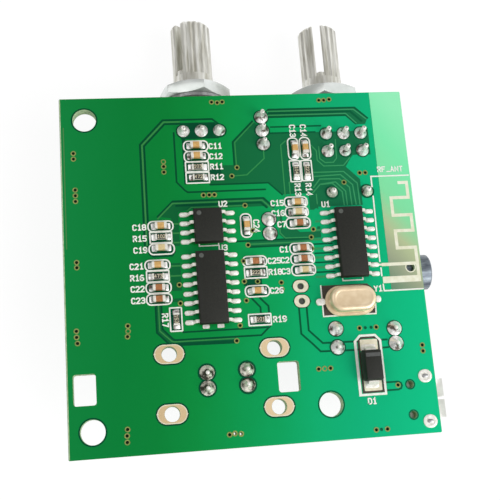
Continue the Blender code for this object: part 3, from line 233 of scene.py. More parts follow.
# Dark brown, for the painted shadow round the crystal can's foot and for the dark line inside the rectifier's
# outline.
DARK_LINE_AND_CAN_SHADOW = grained("dark_line_and_painted_can_shadow", (44, 38, 28), (64, 54, 42), 0.6, 0.6)
PRINTED_CODE = grained("resistor_code_ink", (206, 198, 164), (224, 216, 184), 0.2, 0.6)
PIN_TIN = grained("tinned_pins", (206, 204, 198), (238, 236, 230), 0.3, 0.3, metallic=0.5)
TAN_CERAMIC = grained("tan_ceramic", (196, 150, 84), (220, 178, 108), 0.35, 0.45)
PALE_CERAMIC = grained("pale_ceramic", (204, 184, 130), (220, 200, 150), 0.35, 0.45)
BROWN_CERAMIC = grained("brown_ceramic", (150, 92, 48), (180, 118, 68), 0.35, 0.45)
GLAZE_BLACK = grained("black_resistor_glaze", (34, 34, 32), (52, 52, 48), 0.3, 0.4, specular=0.35)
ALUMINA = grained("white_alumina", (196, 192, 178), (222, 218, 206), 0.2, 0.5)
TERMINAL = grained(
    "plated_terminals", (222, 218, 206), (246, 244, 236), 0.3, 0.3, metallic=0.25, relief=0.006)
MOULDED_BLACK = grained("moulded_black", (24, 25, 21), (36, 37, 31), 0.12, 0.55, relief=0.005, specular=0.3)
CHIP_DOT = grained("chip_dimple", (70, 74, 70), (88, 92, 86), 0.2, 0.4)
BAND_INK = grained("grey_band_ink", (66, 68, 66), (82, 84, 82), 0.2, 0.6)
CRYSTAL_METAL = grained(
    "brushed_crystal_can", (224, 199, 162), (243, 221, 186), 1.4, 0.26, metallic=0.4, relief=0.006)
CASTING = grained("zinc_casting", (150, 150, 148), (182, 182, 180), 0.5, 0.42, metallic=0.85, relief=0.02)
NICKEL = grained("nickel_nut", (224, 230, 226), (246, 250, 248), 2.4, 0.26, metallic=0.6, relief=0.004)
SPRING_STEEL = grained("washer_steel_finish", (140, 140, 142), (176, 176, 176), 0.6, 0.35, metallic=0.9)
SHAFT_METAL = grained(
    "turned_aluminium", (196, 194, 180), (250, 250, 244), 0.5, 0.32, metallic=0.6, relief=0.02,
    stretch=(1.0, 0.12, 1.0))
PLATED_STEEL = grained(
    "plated_cover", (188, 188, 184), (216, 216, 212), 1.2, 0.32, metallic=0.8, relief=0.006)
# The shell's steel is near white with little metal reflection: partly its own pale plating, partly a painted
# highlight.
SHELL_STEEL = grained(
    "bright_shell_steel", (228, 227, 224), (246, 246, 244), 1.0, 0.3, metallic=0.3, relief=0.004)
# The USB socket's peg ends sit down in their holes. Their dark green-grey is painted shade, with the green of
# the hole walls, in place of the shell's pale steel.
PEG_SHADE_GREY = grained("socket_pegs_painted_shade", (84, 120, 108), (122, 152, 140), 0.3, 0.6)
PHENOLIC = grained("brown_phenolic", (92, 58, 34), (122, 82, 52), 0.3, 0.6, relief=0.012)
NYLON = grained("white_nylon", (222, 218, 204), (238, 235, 224), 0.6, 0.5, relief=0.006)
SOCKET_BLACK = grained("black_socket_plastic", (24, 24, 26), (36, 36, 38), 0.3, 0.4, relief=0.006)
NOSE_GREY = grained(
    "socket_nose", (84, 92, 104), (142, 152, 160), 0.5, 0.32, metallic=0.4, stretch=(0.3, 1.0, 1.0))
SLEEVE = grained("black_sleeve", (20, 22, 30), (32, 34, 44), 1.0, 0.3)
SLEEVE_STRIPE = grained("grey_sleeve_stripe", (150, 152, 156), (170, 172, 176), 0.6, 0.4)
CAN_METAL = grained("can_aluminium", (188, 188, 188), (214, 214, 214), 0.8, 0.32, metallic=0.9)


# Flat outlines
def circle(x, y, radius, steps=24):
    turn = 2 * math.pi / steps
    return [(x + radius * math.cos(i * turn), y + radius * math.sin(i * turn)) for i in range(steps)]


def rounded(x, y, length, width, radius, steps=4):
    """A rectangle with round corners: length runs along X and width along Y."""
    radius = min(radius, length / 2, width / 2)
    points = []
    for corner, (side_x, side_y) in enumerate(((1, 1), (-1, 1), (-1, -1), (1, -1))):
        centre_x = x + side_x * (length / 2 - radius)
        centre_y = y + side_y * (width / 2 - radius)
        for i in range(steps + 1):
            turn = (corner + i / steps) * math.pi / 2
            points.append((centre_x + radius * math.cos(turn), centre_y + radius * math.sin(turn)))
    return points


def stadium(x, y, length, width):
    return rounded(x, y, length, width, min(length, width) / 2, 8)


def grown(sides, margin):
    """A length and a width with a margin all round."""
    return sides[0] + 2 * margin, sides[1] + 2 * margin


def ribbon(path, width, closed=False, cap_steps=4):
    """The right and left sides of a line of one width with mitred corners, and the arcs of its round ends."""
    half = width / 2
    points = [Vector(point) for point in path]
    steps = [(b - a).normalized() for a, b in zip(points, points[1:] + points[:1])]
    if not closed:
        steps.pop()
    right, left = [], []
    for i, point in enumerate(points):
        before = steps[i - 1] if closed or i else steps[0]
        after = steps[i] if closed or i < len(steps) else steps[-1]
        middle = (before + after).normalized()
        side = Vector((middle.y, -middle.x)) * half / max(middle.dot(after), 0.4)
        right.append(tuple(point + side))
        left.append(tuple(point - side))
    caps = []
    for centre, direction in ((points[-1], steps[-1]), (points[0], -steps[0])):
        heading = math.atan2(direction.y, direction.x)
        turns = [heading + math.pi * (i / cap_steps - 0.5) for i in range(1, cap_steps)]
        caps.append([tuple(centre + Vector((math.cos(turn), math.sin(turn))) * half) for turn in turns])
    return right, left, caps


def area(outline):
    return sum(a[0] * b[1] - b[0] * a[1] for a, b in zip(outline, outline[1:] + outline[:1])) / 2


# Solid shapes
def belt(count, row=0):
    """Faces from one row's loop of count points to the next row's loop."""
    start = row * count
    return [(start + i, start + (i + 1) % count, start + count + (i + 1) % count, start + count + i)
            for i in range(count)]


def lids(count, last):
    """The faces that close the first loop and the one whose points start at last."""
    return [list(range(count))[::-1], [last + i for i in range(count)]]


class Shape:
    """Points and faces of one piece, in the board's axes."""

    def __init__(self):
        self.points = []
        self.faces = []
        self.slots = []

    def add(self, points, faces, slot=0):
        first = len(self.points)
        self.points += points
        for face in faces:
            self.faces.append([first + i for i in face])
            self.slots.append(slot)

    def flat(self, outline, z, slot=0, holes=(), up=True):
        """A level face with holes in it."""
        loops = [[Vector((*point, 0)) for point in loop] for loop in (outline, *holes)]
        points = [(point.x, point.y, z) for loop in loops for point in loop]
        if not holes:
            order = list(range(len(outline)))
            faces = [order if (area(outline) > 0) == up else order[::-1]]
        else:
            faces = []
            for a, b, c in tessellate_polygon(loops):
                level = area([points[a][:2], points[b][:2], points[c][:2]]) > 0
                faces.append((a, b, c) if level == up else (a, c, b))
        self.add(points, faces, slot)

    def wall(self, outline, low, high, slot=0, inward=False):
        """The upright faces along an outline."""
        outward = (area(outline) > 0) != inward
        loop = outline if outward else outline[::-1]
        points = [(*point, low) for point in loop] + [(*point, high) for point in loop]
        self.add(points, belt(len(loop)), slot)

    def loft(self, levels, slot=0):
        """A closed solid through outlines of as many points, each at its height, from low to high."""
        count = len(levels[0][0])
        points = [(*point, z) for outline, z in levels for point in outline]
        faces = [face for row in range(len(levels) - 1) for face in belt(count, row)]
        self.add(points, faces + lids(count, len(points) - count), slot)

    def turned(self, x, y, profile, steps=20, slot=0, lean=(0.0, 0.0)):
        """A solid of revolution about an upright axis through x, y, with its top leaning over."""
        top = profile[-1][1]
        levels = []
        for radius, z in profile:
            share = z / top
            levels.append((circle(x + lean[0] * share, y + lean[1] * share, radius, steps), z))
        self.loft(levels, slot)

    def strip(self, path, thickness, low, high, place, slot=0):
        """A bent strip: path in a plane across the board, carried from low to high along the other axis."""
        right, left, caps = ribbon(path, thickness)
        outline = right + left[::-1]
        count = len(outline)
        if area(outline) < 0:
            outline = outline[::-1]
        points = [place(u, low, z) for u, z in outline] + [place(u, high, z) for u, z in outline]
        self.add(points, belt(count) + lids(count, count), slot)

    def piece(self, name, materials, smooth=35, replaces=(), slot=None, body="board"):
        mesh = bpy.data.meshes.new(name)
        mesh.from_pydata([at(*point) for point in self.points], [], self.faces)
        for material in materials:
            mesh.materials.append(material)
        for polygon, index in zip(mesh.polygons, self.slots):
            polygon.material_index = index
        return settle(mesh, name, smooth, replaces, slot, body)


def settle(mesh, name, smooth, replaces, slot, body):
    """Joins a mesh's doubled points, turns its faces outward where it is closed, and puts it in the scene."""
    work = bmesh.new()
    work.from_mesh(mesh)
    bmesh.ops.remove_doubles(work, verts=work.verts, dist=0.00001 * MM)
    if all(edge.is_manifold for edge in work.edges):
        bmesh.ops.recalc_face_normals(work, faces=work.faces)
    work.to_mesh(mesh)
    work.free()
    if smooth:
        mesh.shade_smooth()
        mesh.set_sharp_from_angle(angle=math.radians(smooth))
    piece = put(name, mesh)
    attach(piece, body)
    if replaces:
        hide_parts(*replaces)
    return piece


class Print(Shape):
    """Thin printed shapes over the board's face, each a hair above the last, so that none share a plane."""

    HAIR = 0.00008

    def __init__(self, height, side=1):
        super().__init__()
        self.height = height
        self.side = side

    def level(self):
        self.height += self.HAIR
        if self.side > 0:
            return self.height
        return -BOARD_THICKNESS - self.height

    def patch(self, outline, holes=(), slot=0):
        self.flat(list(outline), self.level(), slot, holes, up=self.side > 0)

    def line(self, path, width, slot=0, closed=False, square=False):
        """A line of one width, as a row of faces, so that it never lies over itself."""
        right, left, caps = ribbon(path, width, closed)
        z = self.level()
        count = len(right)
        points = [(*point, z) for point in right + left]
        faces = belt(count) if closed else belt(count)[:-1]
        if not closed and not square:
            for cap, first, last in ((caps[0], count - 1, 2 * count - 1), (caps[1], count, 0)):
                start = len(points)
                points += [(*point, z) for point in cap]
                faces.append((first, *range(start, len(points)), last))
        if self.side < 0:
            faces = [face[::-1] for face in faces]
        self.add(points, faces, slot)

    def ring(self, x, y, outer, inner, slot=0):
        self.line(circle(x, y, (outer + inner) / 2, 20), outer - inner, slot, closed=True)

    def frame(self, outline, width, slot=0):
        """A closed line along an outline."""
        self.line(outline, width, slot, closed=True)

    def piece(self, name, materials):
        return super().piece(name, materials, smooth=None)


# Heights of the printed layers over the board's faces, and the gaps that print leaves at edges and holes
DARK_LAYER = 0.004
TRACE_LAYER = 0.014
STRIP_LAYER = 0.024
GROUND_LAYER = 0.026
ANTENNA_LAYER = 0.028
PAD_LAYER = 0.03
VIA_LAYER = 0.031
INK_LAYER = 0.034
BELOW_LAYER = 0.02
EDGE_GAP = 0.02
HOLE_GAP = 0.01

# Holes through the board
MOUNT_HOLE_RADIUS = 1.6
MOUNT_HOLES = ((-20.9, 21.05), (-21.15, -20.95), (9.75, -19.6))
WINDOW = (2.9, 4.0)
WINDOW_CORNER = 0.35
WINDOWS = ((-22.0, -15.6), (4.45, -15.6))
OVAL_HOLE_RADIUS = 1.0
OVAL_PADS = [(x, y) for x in (-11.05, 2.85) for y in (-11.7, -19.4)]
OVAL_PAD = (3.9, 2.5)
RING_HOLE_RADIUS = 0.45
RING_PAD = (2.1, 1.68)
RING_PADS = ((7.1, -3.65), (7.1, -5.7))
SOCKET_PEG_RADIUS = 0.5
SOCKET_PEGS = ((20.68, -21.72), (20.68, -17.72))
JACK_PEG = (22.7, -1.8)
JACK_PEG_RADIUS = 0.6
OPEN_VIA_RADIUS = 0.18
OPEN_VIAS = ((-3.2, -22.4), (-2.4, -22.5))


def board_holes():
    """Outlines of every hole that goes right through."""
    holes = [circle(x, y, MOUNT_HOLE_RADIUS, 40) for x, y in MOUNT_HOLES]
    holes += [rounded(x, y, *WINDOW, WINDOW_CORNER) for x, y in WINDOWS]
    holes += [circle(x, y, OVAL_HOLE_RADIUS, 32) for x, y in OVAL_PADS]
    holes += [circle(x, y, RING_HOLE_RADIUS, 16) for x, y in RING_PADS]
    holes += [circle(x, y, SOCKET_PEG_RADIUS, 16) for x, y in SOCKET_PEGS]
    holes.append(circle(*JACK_PEG, JACK_PEG_RADIUS, 20))
    holes += [circle(x, y, OPEN_VIA_RADIUS, 10) for x, y in OPEN_VIAS]
    return holes


def build_plate():
    plate = Shape()
    edge = rounded(0, 0, 2 * HALF_BOARD, 2 * HALF_BOARD, BOARD_CORNER, 2)
    holes = board_holes()
    plate.flat(edge, 0.0, 0, holes)
    plate.flat(edge, -BOARD_THICKNESS, 0, holes, up=False)
    plate.wall(edge, -BOARD_THICKNESS, 0.0, 1)
    for hole in holes:
        plate.wall(hole, -BOARD_THICKNESS, 0.0, 1, inward=True)
    plate.piece("board_laminate", [MASK, LAMINATE], None, ["circuit_board"], "board_green")


# Where pins come through: places, joint radius, joint height, pin radius and reach
JOINTS = {
    "tone": ([(x, 19.05) for x in (-7.4, -4.9, -2.4)], 0.88, 1.1, 0.3, 1.3),
    "volume": ([(x, y) for y in (18.05, 15.45) for x in (12.75, 15.25, 17.75)], 0.86, 1.1, 0.3, 2.3),
    "switch": ([(x, 9.4) for x in (12.75, 17.75)], 0.78, 0.9, 0.35, 1.4),
    "line": ([(3.65, y) for y in (16.82, 18.82, 20.82)], 0.94, 1.1, 0.26, 2.3),
    "speaker": (((-6.3, -16.4), (-6.3, -14.4), (-1.05, -16.35), (-1.05, -14.35)), 0.95, 0.95, 0.25, 0.9),
    "capacitor": (
        ((3.55, 3.9), (3.55, 5.9), (19.4, -12.1), (19.4, -10.1), (11.35, -12.2), (11.35, -9.7)),
        0.95, 0.95, 0.25, 0.9),
}
SOCKET_LEGS = ((22.85, -22.70), (22.85, -16.74))
HALO = 0.18
DULL_HALO = 0.27
DULL_JOINTS = ("speaker", "switch")
PAD_RISE = 0.1
HOLLOW = 1.25
LEAN = 0.07
PIN_ABOVE_JOINT = 0.12
LEG_PAD = (1.9, 1.75)
LEG_PAD_LEVELS = ((0, 0.02), (0.02, 0.09), (0.2, 0.14), (0.7, 0.12), (0.74, 0.07))
LEG_TIP = (0.8, 0.5)
LEG_TIP_LEVELS = ((0, 0.05), (0, 0.2), (0.12, 0.24))


def joint_profile(radius, height, pin):
    """Solder that climbs a pin in a hollow curve."""
    profile = [(radius * 0.97, 0.02), (radius, PAD_RISE)]
    for share in (0.12, 0.3, 0.5, 0.72, 0.9):
        profile.append((pin + (radius - pin) * (1 - share) ** HOLLOW, PAD_RISE + (height - PAD_RISE) * share))
    profile.append((pin * 0.9, height))
    return profile


def pin_profile(root, tip, pin):
    """A round pin from root up to its blunted tip."""
    return (pin * 1.15, root), (pin * 1.08, tip - pin * 0.5), (pin * 0.8, tip - pin * 0.2), (pin * 0.4, tip)


def build_joints():
    for kind, (places, radius, height, pin, reach) in JOINTS.items():
        joints = Shape()
        for number, (x, y) in enumerate(places):
            lean = LEAN * math.sin(7 * number + x), LEAN * math.cos(5 * number + y)
            breadth = radius * (1 + 0.04 * math.sin(x + 3 * y))
            joints.turned(x, y, joint_profile(breadth, height, pin), lean=lean)
            tip = max(reach, height + PIN_ABOVE_JOINT)
            # Each pin is bright tin, near white: partly the tin's own pale colour, partly a painted
            # highlight.
            joints.turned(x + lean[0], y + lean[1], pin_profile(height - 0.25, tip, pin), slot=1)
        solder = DULL_SOLDER if kind in DULL_JOINTS else SOLDER
        joints.piece(kind + "_solder_joints", [solder, BRIGHT_TIN], smooth=50)
    legs = Shape()
    for x, y in SOCKET_LEGS:
        for (length, width), levels, slot in ((LEG_PAD, LEG_PAD_LEVELS, 0), (LEG_TIP, LEG_TIP_LEVELS, 1)):
            legs.loft([(stadium(x, y, length - drop, width - drop), z) for drop, z in levels], slot)
    legs.piece("socket_leg_joints", [BRIGHT_TIN, SPRING_STEEL], smooth=50)


# Copper seen through the mask: dark laminate areas and lines, then lighter traces over them
DARK_AREAS = (
    ((2.4, 20.3), (-0.6, 17.3), (-0.6, 13.9), (-4.2, 13.9), (-4.2, 11.2), (3.9, 11.2), (5.75, 9.4),
     (9.4, 9.4), (9.4, 7), (10.6, 7), (10.6, 7.4), (16.95, 7.4), (16.95, 11.2), (15.1, 13.1), (15.9, 14.3),
     (16.3, 14.8), (18.9, 14.8), (18.9, 18.8), (16.5, 18.4), (4.6, 18.4)),
    ((4.7, 22), (17.3, 22), (19, 20.3), (18.6, 19.4), (17.4, 19.4), (16, 20.8), (4.7, 20.8)),
    # Round the preamp's left leads: partly bare laminate without copper, partly the chip's painted shadow.
    ((-11.4, 6.9), (-9.4, 8.85), (3, 8.85), (4.3, 7.6), (2.9, 7.8), (-7, 7.8), (-8.8, 7.4), (-8.8, 2.7),
     (-9.8, 2.7), (-9.8, 6.6)),
    ((-10.3, 0.4), (-8.9, 0.4), (-8.9, -3.4), (-10.3, -3.4)),
    ((-10.3, -4.4), (-8.9, -4.4), (-8.9, -4.9), (-10.3, -4.9)),
    ((0.3, 2.95), (9.3, 2.95), (9.3, 2.6), (6.3, 2.1), (0.3, 2.1)),
    ((4.8, 6.5), (5.4, 6.5), (5.4, 4.5), (7.2, 4.4), (7.7, 3.9), (10, 3.9), (10.2, 4.6), (10.6, 4.6),
     (10.6, 3), (5.6, 2.95), (4.8, 3.7)),
    ((-12.45, -5.2), (-11.7, -5.2), (-11.7, -8.4), (-10.4, -9.8), (-2.2, -9.95), (-2.2, -10.75),
     (-10.8, -10.5), (-12.45, -8.8)),
)
DARK_PATCHES = (
    ((-7.8, 17.9), (-7.8, 20.3), (-3, 20.3), (-2.5, 19.9), (-2.5, 17.9)),
    ((-7.7, 17.9), (-7.2, 17.9), (-7.2, 11.65), (-4.3, 11.65), (-4.3, 11.35), (-7.7, 11.35)),
    ((-4.2, 12.65), (-4.2, 13.35), (-2.5, 13.35), (-2.5, 12.65)),
    ((-0.6, -3.2), (-0.6, -2.25), (1.9, -2.25), (1.9, -3.2)),
)
DARK_LINES = (
    (0.26, ((-13.48, 3), (-13.48, 17.3), (-10.2, 20.78), (-3.3, 20.78), (-2.5, 20.1))),
    (0.26, ((-12.92, 3), (-12.92, 17.05), (-9.95, 20.2), (-7.8, 20.2))),
    (0.24, ((-8.75, 18.9), (-8.75, 11.7), (-7.65, 10.45), (-7.3, 10.2), (3.4, 10.2))),
    (0.22, ((-4.2, 11.15), (3.9, 11.15), (5.7, 9.35))),
    (0.26, ((-11.6, 6.9), (-9.45, 8.98), (3.05, 8.98), (4.35, 7.6))),
    (0.3, ((-9, 8.35), (2.6, 8.35), (3.4, 7.6))),
    (0.25, ((-13.2, 2.9), (-12.9, 1.75), (-12.4, 1.42), (-9.9, 1.42), (-9.5, 2))),
    (0.24, ((-1.9, 2.98), (9.3, 2.98))),
    (0.24, ((0.6, 2.1), (6.3, 2.1))),
    *[(0.22, ((9.5, y), (12, y))) for y in (2.1, 0.8, -0.5, -1.85)],
    (0.26, ((-12.48, -5.2), (-12.48, -8.8), (-10.8, -10.58), (-2.2, -10.7))),
    (0.3, ((-10.6, -10.45), (-2.2, -10.5))),
    (0.24, ((-11.72, -5.2), (-11.72, -8.4), (-10.4, -9.8), (-10.1, -9.92), (1.25, -9.95), (2.5, -8.8))),
    (0.22, ((-9.1, -8.95), (2.4, -8.95))),
    (0.26, ((0.3, -4.9), (1.4, -6.2), (1.4, -6.95))),
    (0.26, ((1.3, -4.8), (2.5, -6.1), (2.5, -6.95))),
    (0.26, ((6.6, -6.6), (6.6, -10.1), (8, -11.5), (9, -12.6), (13.7, -12.7), (18.3, -12.6))),
    (0.26, ((7.65, -6.6), (7.65, -9.7), (9.4, -11.5), (13.7, -11.55), (18.2, -11.55))),
    (0.24, ((17.3, -17.25), (19.1, -17.25), (19.45, -17.45), (19.55, -17.8), (19.4, -18.15), (19, -18.3),
            (17.3, -18.3))),
    (0.22, ((4.9, 19.33), (12.1, 19.33))),
    (0.22, ((4.6, 18.42), (11.2, 18.42))),
    (0.22, ((-0.65, 13.9), (-0.65, 17.3), (2.35, 20.3))),
    (0.25, ((4.5, 20.9), (4.4, 21.6), (4.8, 21.98), (17.3, 21.98), (19.05, 20.3))),
    (0.34, ((4.8, 21.4), (16.6, 21.4), (18.1, 19.9))),
    (0.26, ((4.8, 20.82), (15.9, 20.82), (17.2, 19.5))),
)
POUR = ((10.3, 6.9), (9.9, 6.4), (9.7, 5.4))
POUR_WIDTH = 0.6
TRACES = (
    (0.2, ((-13.2, 3), (-13.2, 17.17), (-10.08, 20.48), (-7.9, 20.48))),
    (0.2, ((-11.6, 6.6), (-9.5, 8.68), (2.8, 8.68), (4.2, 7.3))),
    (0.15, ((-7.6, 7.5), (-7, 8), (0.4, 8))),
    *[(0.2, ((-9.6, y), (-8.4, y))) for y in (5.8, 4.5, 3.2)],
    *[(0.2, ((-10.4, y), (-8.6, y))) for y in (0, -1.35)],
    (0.16, ((-12.1, -5.2), (-12.1, -8.6), (-10.6, -10.05), (-10.3, -10.14), (-2.4, -10.16))),
    (0.2, ((0.5, 2.5), (6.1, 2.5), (9.2, 2.6))),
    (0.16, ((9.2, 3.1), (5.6, 3.15), (4.95, 3.9), (4.95, 6.4))),
    (0.16, ((2.5, 20.1), (-0.35, 17.2), (-0.35, 13.7))),
    (0.16, ((3.6, 15.9), (3.6, 14.7), (1, 12.4), (-0.9, 12.3))),
    (0.16, ((6.8, 17.2), (6.1, 16.6), (6.1, 9.2))),
    (0.16, ((6.83, 11.1), (6.83, 9.2))),
    (0.17, ((4.6, 21.7), (17.1, 21.7), (18.8, 20.2))),
    (0.17, ((4.6, 21.1), (15.9, 21.1), (17.3, 19.6))),
    (0.15, ((10.3, 16.6), (11.1, 15.6), (11.1, 14.2), (11.95, 13.3), (14.8, 13.3), (15.8, 14.4))),
    (0.15, ((11.5, 16.2), (11.5, 14.4), (12.2, 13.8), (13.4, 13.8), (13.9, 14.4), (14, 17.2))),
    (0.15, ((10.5, 9.2), (10.5, 7.8))),
    (0.17, ((10.4, 12.4), (14.7, 12.4), (16.5, 10.6), (16.55, 7.5))),
    (0.17, ((10.4, 11.8), (14.2, 11.95), (15.8, 10.4), (16, 7.5))),
    (0.17, ((10.2, 10.2), (11.2, 11.4), (14, 11.35), (15.3, 10.05), (15.4, 7.5))),
    (0.17, ((9.6, 9), (11.2, 10.65), (13.4, 10.9), (14.7, 9.5), (14.75, 7.5))),
    (0.17, ((11.4, 10.6), (12.9, 10.75), (14.2, 9.45), (14.3, 7.5))),
    (0.16, ((-23.75, 3), (-23.75, 20))),
)
CHIP_STUBS = (5.3, 4.05, 2.75, 1.45, 0.2, -1.2, -2.5)
STUB_ENDS = (9.4, 10.5)
STUB_WIDTH = 0.3
BRACKETS = (
    ((-6.2, 2.8), (-6.2, 2.55), (-3.6, 2.55), (-3.6, 2.8)),
    ((13, -2.9), (13, -3.2), (15.8, -3.2), (15.8, -2.9)),
)
CUT_EDGE = 24.15
CUT_WIDTH = 0.14
OVAL_CLEARANCE = 0.2
RING_CLEARANCE = 0.03


def build_copper():
    dark = Print(DARK_LAYER)
    for polygon in DARK_AREAS:
        dark.patch(polygon)
    for polygon in DARK_PATCHES:
        dark.patch(polygon, slot=1)
    for width, path in DARK_LINES:
        dark.line(path, width, 1)
    for kind, (places, radius, height, pin, reach) in JOINTS.items():
        halo = DULL_HALO if kind in DULL_JOINTS else HALO
        for x, y in places:
            dark.patch(circle(x, y, radius + halo), slot=1)
    for x, y in SOCKET_PEGS:
        dark.ring(x, y, SOCKET_PEG_RADIUS + 0.2, SOCKET_PEG_RADIUS + HOLE_GAP, 1)
    for x, y in OVAL_PADS:
        hole = circle(x, y, OVAL_HOLE_RADIUS + 2 * HOLE_GAP)
        dark.patch(stadium(x, y, *grown(OVAL_PAD, OVAL_CLEARANCE)), (hole,), 1)
    for x, y in RING_PADS:
        dark.frame(stadium(x, y, *grown(RING_PAD, RING_CLEARANCE)), 0.2, 1)
    for x, y in MOUNT_HOLES:
        dark.line(circle(x, y, MOUNT_HOLE_RADIUS + 0.12, 40), 0.18, 1, closed=True)
    dark.piece("bare_board_areas", [BARE_MASK, GAP_MASK])
    traces = Print(TRACE_LAYER)
    for width, path in TRACES:
        traces.line(path, width)
    for y in CHIP_STUBS:
        traces.line([(x, y) for x in STUB_ENDS], STUB_WIDTH)
    traces.line(POUR, POUR_WIDTH, 2)
    traces.line(((-CUT_EDGE, -CUT_EDGE), (-CUT_EDGE, CUT_EDGE)), CUT_WIDTH, 1, square=True)
    traces.piece("masked_traces", [TRACE_MASK, LAMINATE, MASK])


# The printed antenna on its bare strip
STRIP_LEFT = 19.65
STRIP_FOOT = -4.9
ANTENNA = (
    (22.3, 10.45), (23.6, 10.45), (23.6, 8.25), (21.1, 8.25), (21.1, 5.7), (23.7, 5.7), (23.7, 3.45),
    (21.15, 3.45), (21.15, 1), (23.75, 1), (23.75, -3.4),
)
ANTENNA_WIDTH = 0.45
FEED = ((18.65, -1.25), (23.7, -1.25))
FEED_LEAD = ((17.4, -1.2), (18.65, -1.25))
GROUND_FOOT = ((18.6, -3.4), (24.0, -3.4))
GROUND_WIDTH = 0.9
ANTENNA_BORDER = (
    ((24.0, 11.5), (18.55, 11.5), (18.55, 10.0)),
    ((18.55, 8.6), (18.45, -0.8)),
    ((18.5, -1.7), (18.5, -2.8)),
    ((18.55, -4.0), (18.6, -4.9), (24.1, -4.9)),
)


def build_antenna():
    peg_hole = circle(*JACK_PEG, JACK_PEG_RADIUS + HOLE_GAP, 20)
    strip = Print(STRIP_LAYER)
    edge = HALF_BOARD - EDGE_GAP
    # The strip carries painted light and a painted shadow in its colour.
    strip.patch(
        ((STRIP_LEFT, STRIP_FOOT), (edge, STRIP_FOOT), (edge, edge), (STRIP_LEFT, edge)), (peg_hole,))
    strip.piece("antenna_strip", [STRIP_MASK_PAINTED_LIGHT])
    copper = Print(ANTENNA_LAYER)
    copper.line(ANTENNA, ANTENNA_WIDTH, square=True)
    copper.line(FEED, ANTENNA_WIDTH, square=True)
    copper.line(FEED_LEAD, ANTENNA_WIDTH * 0.6)
    copper.line(GROUND_FOOT, GROUND_WIDTH, square=True)
    copper.patch(circle(*JACK_PEG, JACK_PEG_RADIUS + 0.15), (peg_hole,))
    copper.piece("printed_antenna", [BARE_COPPER])


# Small plated holes under the mask: a ring with its hole, a ring alone, and a hole alone
VIAS = (
    (-3.2, 23.3), (-2.4, 23.2), (-1.7, 23.3), (12.2, 23.2), (12.9, 23.2), (13.7, 23.3), (-22.5, 16.3),
    (-22.5, 15.5), (-22.4, 11.1), (-22.4, 10.3), (-22.4, 9.5), (-22.5, 1.1), (-22.5, 0.4), (-10.4, 14),
    (-10.4, 13.2), (-5.2, 9.7), (-4.4, 9.7), (-3.7, 9.7), (0.4, 8), (0.4, 2.4), (-0.3, 13.5), (-1.1, 12.3),
    (14.6, 10.8), (17, 12.1), (17.8, 12.1), (9.6, 4.2), (9.2, 3.1), (9.1, 1.5), (4.5, -1.5), (4.5, -3),
    (4.5, -3.9), (-0.4, 0.2), (1.2, 4.4), (-0.5, -2.6), (1.3, -2.7), (-9.2, -2.6), (-9.2, -5.1),
    (-0.4, -5.2), (-1.5, -8.5), (-2.1, -10.5), (-16.2, -7.7), (-16.3, -9.1), (-22.8, -8), (-22.8, -8.8),
    (-22.7, -9.6), (-16.8, -20.9), (-16.9, -21.7), (-16.9, -22.5), (-3.9, -22.5), (14.6, -9.8),
    (16.9, -9.8), (8.5, -14.9), (10.1, -14.9), (23, -12.6), (23, -13.4), (15.4, -23.3), (16.9, -23.3),
    (19, -17.7),
)
RINGED_VIAS = ((-10.4, 14.7), (9.3, -14.9), (-16.2, -8.4))
FILLED_VIAS = ((15.4, -9.8), (16.2, -9.8), (16.1, -23.3))
VIA_RADIUS = 0.36
VIA_HOLE_RADIUS = 0.21


def build_vias():
    vias = Print(VIA_LAYER)
    for x, y in VIAS:
        vias.ring(x, y, VIA_RADIUS, VIA_HOLE_RADIUS)
        # A near-black disc paints the shade in the via's hole.
        vias.patch(circle(x, y, VIA_HOLE_RADIUS, 12), slot=1)
    for x, y in RINGED_VIAS:
        vias.ring(x, y, VIA_RADIUS, VIA_HOLE_RADIUS)
    for x, y in FILLED_VIAS:
        vias.patch(circle(x, y, VIA_HOLE_RADIUS, 12), slot=2)
    for x, y in OPEN_VIAS:
        vias.ring(x, y, VIA_RADIUS, OPEN_VIA_RADIUS + HOLE_GAP)
    vias.piece("covered_vias", [VIA_RING, VIA_HOLE, GAP_MASK])


